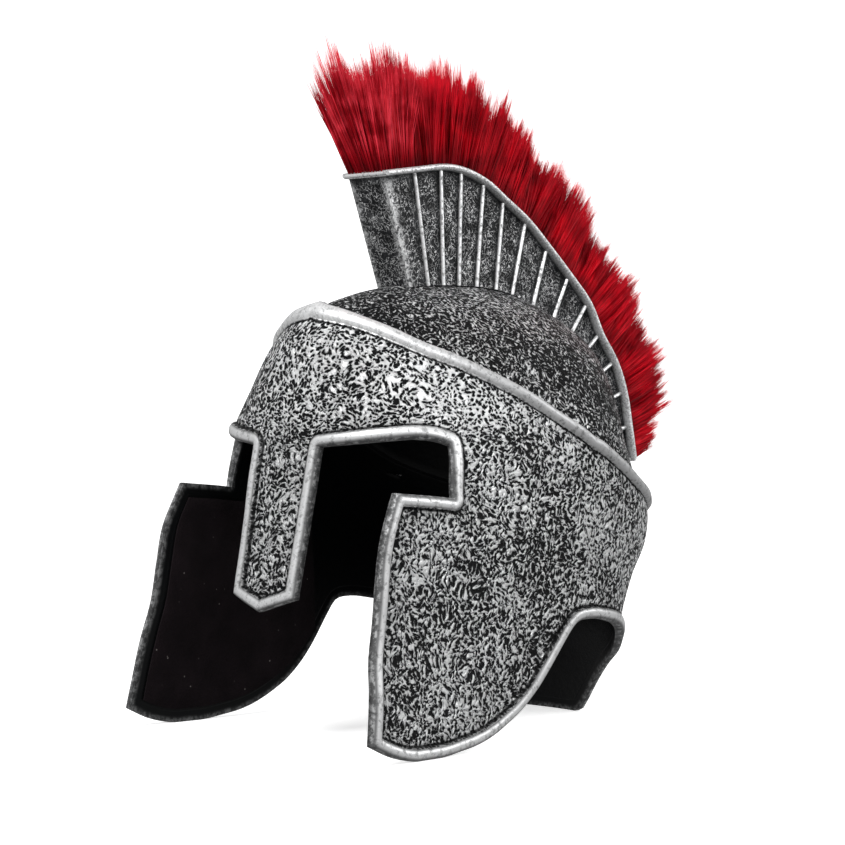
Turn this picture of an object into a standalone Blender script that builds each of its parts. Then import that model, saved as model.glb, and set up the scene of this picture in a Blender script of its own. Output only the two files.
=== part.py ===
"""Roman legionary costume helmet: cast shell with face opening, ribbed crest box, fur crest, cheek linings.

Metres, +Z up, wearer faces -Y, +X is the wearer's left. The helmet stands on its two cheek guards and
on the middle of its neck guard. The outline is described in sections: every height has one row.
"""
import bpy
import bmesh
import numpy as np

# Sizes of the helmet
DOME_HEIGHT = 0.2445
SKULL_HALF = 0.0930
FRONT_REACH = 0.1295
BACK_REACH = 0.1050
AXIS_AHEAD = 0.0088
WALL = 0.0028
MASK_STEP = 0.0050
GAP = 0.0003
CREST_SEAT = 0.0007

# Face opening
EYE_OUTER = 0.0930
EYE_SLANT = 0.0035
EYE_HEIGHT = 0.1530
CHEEK_TOP = 0.1290
CHEEK_AHEAD = 0.0325
CHEEK_HALF = 0.0875
NASAL_HALF = 0.0240
NASAL_TIP_HALF = 0.0214
NASAL_TIP = 0.0680
NASAL_POINT = 0.0075
NASAL_LEAN = 0.0155
NASAL_CROWN = 0.0008

# Relief
BEAD_WIDTH = 0.0066
BEAD_RISE = 0.0026
BAND_WIDTH = 0.0074
BAND_RISE = 0.0032
BAND_BEVEL = 0.0022

# Crest box and fur
CREST_BASE_HALF = 0.0120
CREST_LIP_HALF = 0.0160
LIP_DEPTH = 0.0035
LIP_RISE = 0.0015
RIB_RISE = 0.0014
FUR_LENGTH = 0.0600
FUR_ROOT_HALF = 0.0130
FUR_BULGE_HALF = 0.0165
FUR_TIP_HALF = 0.0050
LOCK_DIP = 0.84

# Cheek linings
FELT = 0.0015
LINING_MARGIN = 0.0075
LINING_BACK = 0.0250
LINING_SEAT = 0.0005

# Sections, as shares of DOME_HEIGHT, SKULL_HALF, FRONT_REACH and BACK_REACH, with the squareness of each half
SECTIONS = (
    # height, width, front, back, front squareness, back squareness
    (0.000, 0.890, 1.000, 0.800, 2.80, 2.30),
    (0.135, 0.912, 1.000, 0.790, 2.80, 2.30),
    (0.258, 0.935, 1.000, 0.781, 2.80, 2.30),
    (0.340, 0.952, 1.000, 0.876, 2.80, 2.30),
    (0.421, 0.978, 1.000, 1.000, 2.80, 2.30),
    (0.523, 1.000, 1.000, 0.990, 2.80, 2.25),
    (0.626, 0.984, 1.000, 0.892, 2.70, 2.20),
    (0.708, 0.925, 0.988, 0.850, 2.35, 2.20),
    (0.789, 0.823, 0.957, 0.829, 2.20, 2.20),
    (0.863, 0.690, 0.905, 0.790, 2.05, 2.10),
    (0.920, 0.520, 0.820, 0.667, 1.95, 2.00),
    (0.961, 0.345, 0.640, 0.495, 1.95, 2.00),
    (0.990, 0.161, 0.371, 0.267, 2.00, 2.00),
    (1.000, 0.000, 0.000, 0.000, 2.00, 2.00),
)

# Lines round the half helmet. Station 0 is the middle of the back, 1 the side at the head's axis,
# 2 the outer edge of the eye, 3 the middle of the front (on the cheek guard: its front edge).
BOTTOM_LINE = (
    # station, height as a share of DOME_HEIGHT
    (0.00, 0.000), (0.13, 0.000), (0.25, 0.085), (0.50, 0.176), (0.70, 0.232), (0.85, 0.251),
    (1.00, 0.259), (1.07, 0.251), (1.15, 0.215), (1.30, 0.141), (1.45, 0.086), (1.60, 0.051),
    (1.80, 0.020), (2.00, 0.006), (2.20, 0.000), (2.50, 0.000), (2.75, 0.014), (3.00, 0.041),
)
CHEEK_LINE = (
    # station, height as a share of CHEEK_TOP
    (0.00, 0.542), (0.50, 0.697), (1.00, 0.931), (1.50, 0.978), (2.00, 1.000), (3.00, 1.022),
)
EYE_LINE = (
    # station, height as a share of EYE_HEIGHT
    (0.00, 0.588), (0.50, 0.719), (1.00, 0.916), (1.50, 0.980), (2.00, 1.010), (2.06, 1.021),
    (2.16, 1.028), (2.37, 1.022), (2.62, 1.010), (2.75, 1.004), (2.82, 1.000), (3.00, 1.000),
)
BAND_LINE = (
    # station, height as a share of DOME_HEIGHT
    (0.00, 0.458), (0.25, 0.475), (0.50, 0.511), (0.75, 0.564), (1.00, 0.644), (1.25, 0.693),
    (1.50, 0.742), (1.75, 0.787), (2.00, 0.827), (2.25, 0.859), (2.50, 0.883), (3.00, 0.906),
)
CHEEK_EDGE = (
    # share of CHEEK_TOP, share of FRONT_REACH + CHEEK_AHEAD, share of CHEEK_HALF
    (0.00, 1.000, 1.000), (0.27, 0.972, 0.958), (0.40, 0.958, 0.925), (0.52, 0.936, 0.905),
    (0.69, 0.918, 0.892), (0.87, 0.890, 0.884), (0.95, 0.862, 0.872), (1.03, 0.832, 0.863),
)

# Crest: foot on the dome and lip in the middle plane, as reach behind AXIS_Y and height,
# both in shares of DOME_HEIGHT
CREST_LINE = (
    # foot reach, foot height, lip reach, lip height
    (-0.230, 0.988, -0.325, 1.231),
    (-0.172, 0.990, -0.235, 1.247),
    (-0.119, 1.000, -0.139, 1.263),
    (-0.065, 1.000, -0.070, 1.262),
    (-0.004, 1.000, 0.008, 1.243),
    (0.065, 1.002, 0.078, 1.208),
    (0.123, 0.990, 0.160, 1.165),
    (0.205, 0.978, 0.240, 1.108),
    (0.286, 0.949, 0.323, 1.045),
    (0.364, 0.916, 0.397, 0.983),
    (0.417, 0.863, 0.448, 0.910),
    (0.483, 0.810, 0.507, 0.843),
    (0.519, 0.744, 0.546, 0.769),
    (0.544, 0.671, 0.570, 0.683),
    (0.556, 0.600, 0.590, 0.602),
)
# Fur: length as a share of FUR_LENGTH and lean of the locks towards the back, in degrees
FUR_LINE = (
    # share along the lip, length, lean
    (0.00, 1.06, -17.0), (0.10, 1.00, -8.0), (0.22, 0.90, -9.0), (0.34, 0.80, -10.0), (0.46, 0.76, -8.0),
    (0.58, 0.75, -6.0), (0.70, 0.74, -5.0), (0.82, 0.73, -4.0), (0.92, 0.70, -4.0), (1.00, 0.46, 0.0),
)
FUR_LOCKS = 17

# The head's axis lies ahead of the origin, so that the origin is the middle of the helmet's box
AXIS_Y = -AXIS_AHEAD


def smooth_table(table, key, column):
    """Smooth curve through one column of a table, read at the keys given."""
    rows = np.array(table)
    knots = rows[:, 0]
    values = rows[:, column]
    slopes = np.gradient(values, knots)
    key = np.clip(np.asarray(key, float), knots[0], knots[-1])
    i = np.clip(np.searchsorted(knots, key, side="right") - 1, 0, len(knots) - 2)
    span = knots[i + 1] - knots[i]
    t = (key - knots[i]) / span
    h00 = 2 * t**3 - 3 * t**2 + 1
    h10 = t**3 - 2 * t**2 + t
    h01 = -2 * t**3 + 3 * t**2
    h11 = t**3 - t**2
    return h00 * values[i] + h10 * span * slopes[i] + h01 * values[i + 1] + h11 * span * slopes[i + 1]


# The sections are read by their angle up the dome, so that the crown closes round
SECTION_ANGLES = tuple((float(np.arcsin(row[0])),) + tuple(row[1:]) for row in SECTIONS)


def section(z):
    """Half width, front reach, back reach and the two squarenesses at a height."""
    angle = np.arcsin(np.clip(np.asarray(z, float) / DOME_HEIGHT, 0.0, 1.0))
    width = SKULL_HALF * np.maximum(smooth_table(SECTION_ANGLES, angle, 1), 0.0)
    front = FRONT_REACH * np.maximum(smooth_table(SECTION_ANGLES, angle, 2), 1e-5)
    back = BACK_REACH * np.maximum(smooth_table(SECTION_ANGLES, angle, 3), 1e-5)
    return width, front, back, smooth_table(SECTION_ANGLES, angle, 4), smooth_table(SECTION_ANGLES, angle, 5)


def smoothstep(t):
    t = np.clip(t, 0.0, 1.0)
    return t * t * (3.0 - 2.0 * t)


def bottom_height(station):
    return DOME_HEIGHT * np.maximum(smooth_table(BOTTOM_LINE, station, 1), 0.0)


def cheek_height(station):
    return CHEEK_TOP * smooth_table(CHEEK_LINE, station, 1)


def eye_height(station):
    return EYE_HEIGHT * smooth_table(EYE_LINE, station, 1)


def band_height(station):
    return DOME_HEIGHT * smooth_table(BAND_LINE, station, 1)


def eye_outer(z):
    """Reach of the outer edge of the eye: it slants forward on its way down to the cheek guard."""
    return EYE_OUTER + EYE_SLANT * smoothstep((EYE_HEIGHT - z) / (EYE_HEIGHT - CHEEK_TOP))


def eye_edge(z):
    """Y of the outer edge of the eye, where the cheek guard begins."""
    return AXIS_Y - section(z)[1] * eye_outer(z) / FRONT_REACH


def cheek_edge(z):
    """Y of the cheek guard's front edge and its half width there."""
    share = np.asarray(z, float) / CHEEK_TOP
    reach = (FRONT_REACH + CHEEK_AHEAD) * smooth_table(CHEEK_EDGE, share, 1)
    half = CHEEK_HALF * smooth_table(CHEEK_EDGE, share, 2)
    return AXIS_Y - reach, half


def side_plate(y, z):
    """Half width of the flat side that runs forward into the cheek guard."""
    width = section(z)[0]
    edge_y, edge_half = cheek_edge(z)
    return width + (edge_half - width) * smoothstep((AXIS_Y - y) / (AXIS_Y - edge_y))


def skull_point(station, z):
    """Point of the plain skull surface, left half, at a station and a height."""
    station = np.asarray(station, float) + 0.0 * np.asarray(z, float)
    z = np.asarray(z, float) + 0.0 * station
    width, front, back, front_power, back_power = section(z)
    eye_share = EYE_OUTER / FRONT_REACH
    # back quarter
    turn = (1.0 - np.clip(station, 0.0, 1.0)) * np.pi / 2
    back_x = width * np.cos(turn).clip(0, 1) ** (2 / back_power)
    back_y = AXIS_Y + back * np.sin(turn).clip(0, 1) ** (2 / back_power)
    # side, from the head's axis to the outer edge of the eye
    share = eye_outer(z) / FRONT_REACH * np.clip(station - 1.0, 0.0, 1.0)
    side_y = AXIS_Y - front * share
    round_x = width * (1.0 - share**front_power) ** (1 / front_power)
    blend = smoothstep((EYE_HEIGHT - z) / (EYE_HEIGHT - CHEEK_TOP))
    side_x = round_x + (side_plate(side_y, z) - round_x) * blend
    # brow, from the outer edge of the eye to the middle of the front
    start = np.arcsin(eye_share ** (front_power / 2))
    turn = start + (np.pi / 2 - start) * np.clip(station - 2.0, 0.0, 1.0)
    brow_x = width * np.cos(turn).clip(0, 1) ** (2 / front_power)
    brow_y = AXIS_Y - front * np.sin(turn) ** (2 / front_power)
    x = np.where(station < 1.0, back_x, np.where(station <= 2.0, side_x, brow_x))
    y = np.where(station < 1.0, back_y, np.where(station <= 2.0, side_y, brow_y))
    return np.stack([x, y, z], -1)


def cheek_point(y, z):
    return np.stack([side_plate(y, z), y, z], -1)


def nasal_station(x):
    """Station of the brow column that runs down into the nasal guard at x."""
    width, _, _, power, _ = section(EYE_HEIGHT)
    start = np.arcsin((EYE_OUTER / FRONT_REACH) ** (power / 2))
    turn = np.arccos((np.asarray(x, float) / width) ** (power / 2))
    return 2.0 + (turn - start) / (np.pi / 2 - start)


def nasal_point(x, z):
    """Point of the nasal guard: it leans forward towards its tip and is crowned across."""
    station = nasal_station(x)
    root_x, root_y, root_z = np.moveaxis(skull_point(station, eye_height(station)), -1, 0)
    down = np.clip((root_z - z) / (root_z - NASAL_TIP), 0.0, 1.0)
    taper = 1.0 + (NASAL_TIP_HALF / NASAL_HALF - 1.0) * down
    crown = (NASAL_CROWN * (x / NASAL_HALF) ** 2) * down
    return np.stack([root_x * taper, root_y - NASAL_LEAN * down + crown, z], -1)


def nasal_bottom(x):
    return NASAL_TIP + NASAL_POINT * np.abs(x) / NASAL_HALF


def outline_points(count):
    """The free edge of the left half, from the middle of the back to the nasal tip."""
    t = np.linspace(0.0, 1.0, count)
    parts = []
    parts.append(skull_point(2 * t, bottom_height(2 * t)))
    z = bottom_height(2 + t)
    parts.append(cheek_point(cheek_edge(z)[0] * t + eye_edge(z) * (1 - t), z))
    z = z[-1] + (cheek_height(3.0) - z[-1]) * t
    parts.append(cheek_point(cheek_edge(z)[0], z))
    z = cheek_height(3 - t)
    parts.append(cheek_point(cheek_edge(z)[0] * (1 - t) + eye_edge(z) * t, z))
    z = cheek_height(2.0) * (1 - t) + eye_height(2.0) * t
    parts.append(skull_point(2.0 + 0 * t, z))
    side = nasal_station(NASAL_HALF)
    station = 2 + (side - 2) * t
    parts.append(skull_point(station, eye_height(station)))
    z = eye_height(side) * (1 - t) + nasal_bottom(NASAL_HALF) * t
    parts.append(nasal_point(NASAL_HALF + 0 * t, z))
    x = NASAL_HALF * (1 - t)
    parts.append(nasal_point(x, nasal_bottom(x)))
    return np.concatenate(parts)


def spread(start, end, count):
    """Evenly spread values, both ends included; start and end may be arrays."""
    t = np.linspace(0.0, 1.0, count + 1)
    return [start + (end - start) * k for k in t]


def side_rows(station, rows_low, rows_mid):
    """Heights of the rows from the bottom edge up to the eye line at some stations."""
    bead = BEAD_WIDTH / 2
    bottom = bottom_height(station)
    cheek = cheek_height(station)
    eye = eye_height(station)
    rows = [bottom, bottom + bead]
    rows += spread(bottom + 2 * bead, cheek - 2 * bead, rows_low)
    rows += [cheek - bead]
    rows += spread(cheek, eye, rows_mid)
    return rows


def upper_rows(station, rows_brow, rows_dome):
    """Heights of the rows from the eye line, over the band, up to the crown."""
    eye = eye_height(station)
    band = band_height(station)
    low = band - BAND_WIDTH / 2
    top = band + BAND_WIDTH / 2
    bead = np.minimum(BEAD_WIDTH / 2, (low - eye) / 4)
    rows = [eye, eye + bead]
    rows += spread(eye + 2 * bead, low, rows_brow)
    rows += [band, top]
    start = np.arcsin((top + BAND_BEVEL) / DOME_HEIGHT)
    for angle in spread(start, np.pi / 2, rows_dome):
        rows.append(DOME_HEIGHT * np.sin(angle))
    return rows


def grid_faces(grid):
    faces = []
    for i in range(grid.shape[0] - 1):
        for j in range(grid.shape[1] - 1):
            faces.append((grid[i, j], grid[i, j + 1], grid[i + 1, j + 1], grid[i + 1, j]))
    return faces


class Sheet:
    """Left-half patches gathered into one welded, mirrored sheet."""

    def __init__(self):
        self.points = []
        self.faces = []

    def add(self, rows):
        """Rows of points, bottom row first, each row running from the back towards the front."""
        block = np.stack(rows)
        for sign in (1.0, -1.0):
            base = len(self.points)
            grid = base + np.arange(block.shape[0] * block.shape[1]).reshape(block.shape[:2])
            side = block * np.array([sign, 1.0, 1.0])
            self.points.extend(side.reshape(-1, 3))
            faces = grid_faces(grid)
            if sign > 0:
                faces = [tuple(reversed(f)) for f in faces]
            self.faces.extend(faces)

    def weld(self):
        mesh = bmesh.new()
        verts = [mesh.verts.new(p) for p in self.points]
        for face in self.faces:
            mesh.faces.new([verts[k] for k in face])
        bmesh.ops.remove_doubles(mesh, verts=mesh.verts, dist=2e-5)
        mesh.normal_update()
        mesh.verts.index_update()
        points = np.array([v.co[:] for v in mesh.verts])
        normals = np.array([v.normal[:] for v in mesh.verts])
        faces = [[v.index for v in f.verts] for f in mesh.faces]
        loops = []
        for edge in mesh.edges:
            if edge.is_boundary:
                loop = edge.link_loops[0]
                loops.append((loop.vert.index, loop.link_loop_next.vert.index))
        mesh.free()
        return points, normals, faces, loops


def edge_distance(points):
    """Distance of points of the sheet from its free edge."""
    edge = outline_points(60)
    gap = np.full(len(points), 1.0)
    half = points.copy()
    half[:, 0] = np.abs(half[:, 0])
    for start, end in zip(edge[:-1], edge[1:]):
        along = end - start
        length = max(float(along @ along), 1e-12)
        t = np.clip(((half - start) @ along) / length, 0.0, 1.0)
        gap = np.minimum(gap, np.linalg.norm(half - start - t[:, None] * along, axis=1))
    return gap


def relief(points):
    """How far the outside and the inside of the cast wall stand off the plain skull surface."""
    above = points[:, 2] - band_height(station_of(points))
    half = BAND_WIDTH / 2
    step = MASK_STEP * (1.0 - smoothstep((above - half) / BAND_BEVEL))
    ridge = BAND_RISE * np.clip(1.0 - (above / half) ** 2, 0.0, 1.0)
    gap = edge_distance(points)
    radius = BEAD_WIDTH / 2
    bead = BEAD_RISE * np.sqrt(np.clip(1.0 - ((gap - radius) / radius) ** 2, 0.0, 1.0))
    outside = step + ridge + bead
    inside = step - WALL
    return outside, inside


def station_of(points):
    """Station of points of the sheet, found from their direction in plan."""
    z = points[:, 2]
    width, front, back, front_power, back_power = section(z)
    reach = AXIS_Y - points[:, 1]
    turn = np.arcsin(np.clip((np.maximum(-reach, 0) / back) ** (back_power / 2), 0.0, 1.0))
    at_back = 1.0 - turn / (np.pi / 2)
    eye_share = EYE_OUTER / FRONT_REACH
    share = np.clip(reach / front, 0.0, 1.0)
    start = np.arcsin(eye_share ** (front_power / 2))
    turn = np.arcsin(share ** (front_power / 2))
    at_brow = 2.0 + (turn - start) / (np.pi / 2 - start)
    return np.where(reach < 0, at_back, np.where(share < eye_share, 1.0 + share / eye_share, at_brow))


def helmet_sheet(back, side, brow, cheek, low, mid, front, dome, nasal):
    """The whole sheet; the counts are the numbers of columns and rows in each patch."""
    sheet = Sheet()
    bead = BEAD_WIDTH / 2
    side_end = 2.0 - 2 * bead / EYE_OUTER
    stations = np.concatenate([
        np.linspace(0, 1, back + 1)[:-1],
        np.linspace(1, side_end, side + 1),
        [2.0 - bead / EYE_OUTER, 2.0],
    ])
    rows = side_rows(stations, low, mid)
    sheet.add([skull_point(stations, z) for z in rows])
    # brow columns, the last ones running down into the nasal guard
    nasal_x = np.array([NASAL_HALF, NASAL_HALF - bead, NASAL_HALF - 2 * bead])
    nasal_x = np.concatenate([nasal_x, np.linspace(nasal_x[-1], 0.0, nasal + 1)[1:]])
    nasal_columns = nasal_station(nasal_x)
    brow_columns = np.linspace(2.0, nasal_columns[0], brow + 1)[1:-1]
    columns = np.concatenate([stations, brow_columns, nasal_columns])
    rows = upper_rows(columns, front, dome)
    sheet.add([skull_point(columns, z) for z in rows])
    # nasal guard
    bottom = nasal_bottom(nasal_x)
    top = rows[0][-len(nasal_x):]
    heights = [bottom, bottom + bead] + spread(bottom + 2 * bead, top, 6)
    sheet.add([nasal_point(nasal_x, z) for z in heights])
    # cheek guard
    guard = []
    shares = np.linspace(0.0, 1.0, cheek + 1)
    heights = np.array(side_rows(np.array([2.0]), low, mid)).ravel()[:low + 5]
    count = len(heights)
    for k in range(count):
        share = (heights[k] - heights[0]) / (heights[-1] - heights[0])
        eye_y = eye_edge(heights[k])
        z = heights[k] + 0.0 * np.arange(cheek + 3)
        for _ in range(4):
            edge_y = cheek_edge(z)[0]
            y = eye_y + (edge_y[:-2] + 2 * bead - eye_y) * shares
            y = np.concatenate([y, [edge_y[-2] + bead, edge_y[-1]]])
            along = 2.0 + (y - eye_y) / (edge_y - eye_y)
            z = bottom_height(along) * (1 - share) + cheek_height(along) * share
        guard.append(cheek_point(y, z))
    sheet.add(guard)
    return sheet


def make_object(name, points, faces, material, smooth=True):
    mesh = bpy.data.meshes.new(name)
    mesh.from_pydata([tuple(p) for p in points], [], faces)
    mesh.update()
    work = bmesh.new()
    work.from_mesh(mesh)
    bmesh.ops.recalc_face_normals(work, faces=work.faces)
    work.to_mesh(mesh)
    work.free()
    mesh.materials.append(material)
    obj = bpy.data.objects.new(name, mesh)
    bpy.context.scene.collection.objects.link(obj)
    if smooth:
        mesh.shade_smooth()
        mesh.set_sharp_from_angle(angle=np.radians(35))
    return obj


def closed_wall(points, normals, faces, loops, outside, inside):
    """Points and faces of a solid wall between two offsets of one sheet."""
    count = len(points)
    outer = points + normals * np.reshape(outside, (-1, 1))
    inner = points + normals * np.reshape(inside, (-1, 1))
    solid = [tuple(f) for f in faces]
    solid += [tuple(k + count for k in reversed(f)) for f in faces]
    solid += [(b, a, a + count, b + count) for a, b in loops]
    return np.concatenate([outer, inner]), solid


def level_normals(points, normals):
    """Below the eyes the wall is thickened level, so that its bottom edge is flat."""
    level = smoothstep((EYE_HEIGHT - points[:, 2]) / (EYE_HEIGHT - CHEEK_TOP))
    flat = normals * np.array([1.0, 1.0, 0.0])
    flat /= np.maximum(np.linalg.norm(flat, axis=1), 1e-9)[:, None]
    mixed = normals + (flat - normals) * level[:, None]
    return mixed / np.linalg.norm(mixed, axis=1)[:, None]


def material(name, color, metallic, roughness):
    mat = bpy.data.materials.new(name)
    mat.use_nodes = True
    shader = mat.node_tree.nodes["Principled BSDF"]
    shader.inputs["Base Color"].default_value = (*color, 1.0)
    shader.inputs["Metallic"].default_value = metallic
    shader.inputs["Roughness"].default_value = roughness
    return mat


def build_shell(surface, mat):
    points, normals, faces, loops = surface
    outside, inside = relief(points)
    verts, solid = closed_wall(points, normals, faces, loops, outside, inside)
    return make_object("helmet_shell", verts, solid, mat)


def guard_station(y, z):
    """Station of a point of the side or of the cheek guard."""
    eye_y = eye_edge(z)
    edge_y = cheek_edge(z)[0]
    behind = 1.0 + (AXIS_Y - y) / (AXIS_Y - eye_y)
    return np.where(y > eye_y, behind, 2.0 + (y - eye_y) / (edge_y - eye_y))


def lining_grid(columns, rows):
    """Grid of points on the cheek guard, a margin in from its edges; the first row is the lowest."""
    back_y = AXIS_Y - LINING_BACK
    u = np.linspace(0.0, 1.0, columns + 1)
    grid = []
    for v in np.linspace(0.0, 1.0, rows + 1):
        z = CHEEK_TOP * (0.1 + 0.8 * v) + 0.0 * u
        for _ in range(6):
            y = back_y + (cheek_edge(z)[0] + LINING_MARGIN - back_y) * u
            station = guard_station(y, z)
            low = bottom_height(station) + LINING_MARGIN
            high = cheek_height(station) - LINING_MARGIN
            z = low + (high - low) * v
        grid.append(cheek_point(y, z))
    return np.stack(grid)


def build_lining(name, side, mat):
    """Felt panel inside one cheek guard; side is 1 for the wearer's left and -1 for the right."""
    grid = lining_grid(columns=9, rows=7)
    points = grid.reshape(-1, 3)
    step = 0.1 * LINING_MARGIN
    ahead = side_plate(points[:, 1] - step, points[:, 2])
    behind = side_plate(points[:, 1] + step, points[:, 2])
    slope = (behind - ahead) / (2 * step)
    normals = np.column_stack([np.ones(len(points)), -slope, np.zeros(len(points))])
    normals /= np.linalg.norm(normals, axis=1)[:, None]
    index = np.arange(len(points)).reshape(grid.shape[:2])
    panel = grid_faces(index)
    sides = {(f[i], f[(i + 1) % 4]) for f in panel for i in range(4)}
    loops = [edge for edge in sorted(sides) if (edge[1], edge[0]) not in sides]
    outside = MASK_STEP - WALL - LINING_SEAT
    verts, solid = closed_wall(points, normals, panel, loops, outside, outside - FELT)
    return make_object(name, verts * np.array([side, 1.0, 1.0]), solid, mat)


def dome_reach(x, foot, rise):
    """Point of the dome, in the plane at x, in the direction of the foot point, lifted by rise."""
    centre = np.array([AXIS_Y, 0.60 * DOME_HEIGHT])
    aim = np.asarray(foot, float) - centre
    aim = aim / np.linalg.norm(aim)
    low = 0.0
    high = 2.0 * DOME_HEIGHT
    for _ in range(50):
        mid = (low + high) / 2
        y, z = centre + aim * mid
        if z >= DOME_HEIGHT:
            high = mid
            continue
        width, front, back, front_power, back_power = section(z)
        if y > AXIS_Y:
            value = (abs(x) / max(width, 1e-6)) ** back_power + ((y - AXIS_Y) / back) ** back_power
        else:
            value = (abs(x) / max(width, 1e-6)) ** front_power + ((AXIS_Y - y) / front) ** front_power
        if value < 1.0:
            low = mid
        else:
            high = mid
    return centre + aim * (low + rise)


def crest_stations():
    """Foot and lip of the crest in the middle plane, with one station halfway between every two ribs."""
    rows = np.array(CREST_LINE) * DOME_HEIGHT
    rows[:, 0] += AXIS_Y
    rows[:, 2] += AXIS_Y
    indexed = np.column_stack([np.arange(len(rows)), rows])
    steps = np.arange(0, len(rows) - 0.75, 0.5)
    return np.stack([smooth_table(indexed, steps, k) for k in (1, 2, 3, 4)], 1)


def build_crest(mat):
    """Solid crest: ribbed flanks that widen to a proud lip, foot following the dome."""
    stations = crest_stations()
    verts = []
    ring = 0
    for k, (foot_y, foot_z, lip_y, lip_z) in enumerate(stations):
        rib = RIB_RISE if k % 2 == 0 and 0 < k else 0.0
        lip = np.array([lip_y, lip_z])
        flank = []
        for x in (0.0, 0.5 * CREST_BASE_HALF, CREST_BASE_HALF):
            y, z = dome_reach(x, (foot_y, foot_z), CREST_SEAT)
            flank.append((x, y, z))
        foot = np.array(flank[-1][1:])
        length = float(np.linalg.norm(lip - foot))
        up = (lip - foot) / length
        under = foot + up * max(length - LIP_DEPTH, 0.55 * length)
        mid = foot + up * 0.5 * max(length - LIP_DEPTH, 0.55 * length)
        half_under = CREST_LIP_HALF - LIP_RISE
        half_mid = (CREST_BASE_HALF + half_under) / 2
        flank[-1] = (CREST_BASE_HALF + rib * 0.6, foot[0], foot[1])
        flank.append((half_mid + rib, mid[0], mid[1]))
        flank.append((half_under - LIP_RISE + rib, under[0], under[1]))
        flank.append((CREST_LIP_HALF + LIP_RISE, under[0], under[1]))
        flank.append((CREST_LIP_HALF + LIP_RISE, lip[0], lip[1]))
        loop = flank + [(-x, y, z) for x, y, z in reversed(flank) if x > 0]
        ring = len(loop)
        verts.extend(loop)
    faces = []
    count = len(stations)
    for k in range(count - 1):
        for j in range(ring):
            a = k * ring + j
            b = k * ring + (j + 1) % ring
            faces.append((a, b, b + ring, a + ring))
    faces.append(tuple(reversed(range(ring))))
    faces.append(tuple(range((count - 1) * ring, count * ring)))
    return make_object("crest_box", verts, faces, mat)


def build_fur(mat):
    """Fur crest: locks fused to a backing strip that follows the lip."""
    lips = crest_stations()[:, 2:]
    steps = np.linalg.norm(np.diff(lips, axis=0), axis=1)
    run = np.concatenate([[0.0], np.cumsum(steps)]) / steps.sum()
    count = 2 * FUR_LOCKS
    share = np.linspace(0.0, 1.0, count + 1)
    path = np.stack([np.interp(share, run, lips[:, 0]), np.interp(share, run, lips[:, 1])], 1)
    along = np.gradient(path, axis=0)
    along /= np.linalg.norm(along, axis=1)[:, None]
    square = np.stack([-along[:, 1], along[:, 0]], 1)
    lean = np.radians(smooth_table(FUR_LINE, share, 2))
    aim = square * np.cos(lean)[:, None] + along * np.sin(lean)[:, None]
    length = FUR_LENGTH * smooth_table(FUR_LINE, share, 1)
    verts = []
    for k in range(count + 1):
        lock = 1.0 if k % 2 == 1 else LOCK_DIP
        root = path[k] + square[k] * GAP
        body = path[k] + aim[k] * length[k] * 0.55
        tip = path[k] + aim[k] * length[k] * lock
        swell = FUR_BULGE_HALF if k % 2 == 1 else FUR_BULGE_HALF * 0.86
        loop = [(0.0, root[0], root[1]), (FUR_ROOT_HALF, root[0], root[1]), (swell, body[0], body[1]),
                (FUR_TIP_HALF, tip[0], tip[1])]
        loop += [(-x, y, z) for x, y, z in reversed(loop) if x > 0]
        verts.extend(loop)
    ring = len(loop)
    faces = []
    for k in range(count):
        for j in range(ring):
            a = k * ring + j
            b = k * ring + (j + 1) % ring
            faces.append((a, b, b + ring, a + ring))
    faces.append(tuple(reversed(range(ring))))
    faces.append(tuple(range(count * ring, (count + 1) * ring)))
    return make_object("fur_crest", verts, faces, mat)


for old in list(bpy.data.objects):
    bpy.data.objects.remove(old)

silver_latex = material("silvered_latex", (0.52, 0.53, 0.54), 0.55, 0.42)
crest_latex = material("crest_latex", (0.30, 0.31, 0.32), 0.45, 0.50)
red_fur = material("red_fur", (0.42, 0.02, 0.04), 0.0, 0.80)
black_felt = material("black_felt", (0.010, 0.010, 0.011), 0.0, 0.95)

sheet = helmet_sheet(back=8, side=8, brow=6, cheek=4, low=6, mid=3, front=4, dome=11, nasal=2)
points, normals, faces, loops = sheet.weld()
surface = (points, level_normals(points, normals), faces, loops)
shell = build_shell(surface, silver_latex)
crest = build_crest(crest_latex)
fur = build_fur(red_fur)
lining_left = build_lining("cheek_lining_left", 1.0, black_felt)
lining_right = build_lining("cheek_lining_right", -1.0, black_felt)
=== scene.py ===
import bmesh
import bpy
import numpy as np
from mathutils import Matrix, Vector
from mathutils.kdtree import KDTree


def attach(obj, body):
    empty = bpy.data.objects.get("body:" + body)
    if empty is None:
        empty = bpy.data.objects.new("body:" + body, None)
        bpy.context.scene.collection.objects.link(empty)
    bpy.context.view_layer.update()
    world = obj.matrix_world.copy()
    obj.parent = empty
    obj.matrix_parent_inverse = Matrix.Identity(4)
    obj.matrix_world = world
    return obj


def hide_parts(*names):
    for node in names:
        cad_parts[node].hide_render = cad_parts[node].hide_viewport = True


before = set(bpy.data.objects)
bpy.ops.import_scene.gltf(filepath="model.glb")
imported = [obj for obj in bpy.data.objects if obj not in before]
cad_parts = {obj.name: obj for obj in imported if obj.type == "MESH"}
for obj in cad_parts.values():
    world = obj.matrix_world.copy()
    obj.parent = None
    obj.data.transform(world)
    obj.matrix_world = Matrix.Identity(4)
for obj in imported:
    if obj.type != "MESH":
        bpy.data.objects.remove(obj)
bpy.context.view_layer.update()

# Helmet shell
# One soft latex casting: skull dome, sloping band, brow panel, nasal, cheek guards and neck guard, with a
# rolled bead round every free edge. It is cast in black and dry-brushed with silver over a hammered relief.
DOME_HEIGHT = 0.2445
SKULL_HALF = 0.0930
FRONT_REACH = 0.1295
BACK_REACH = 0.1050
AXIS_Y = -0.0088
WALL = 0.0028
MASK_STEP = 0.0050
EYE_OUTER = 0.0930
EYE_SLANT = 0.0035
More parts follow.
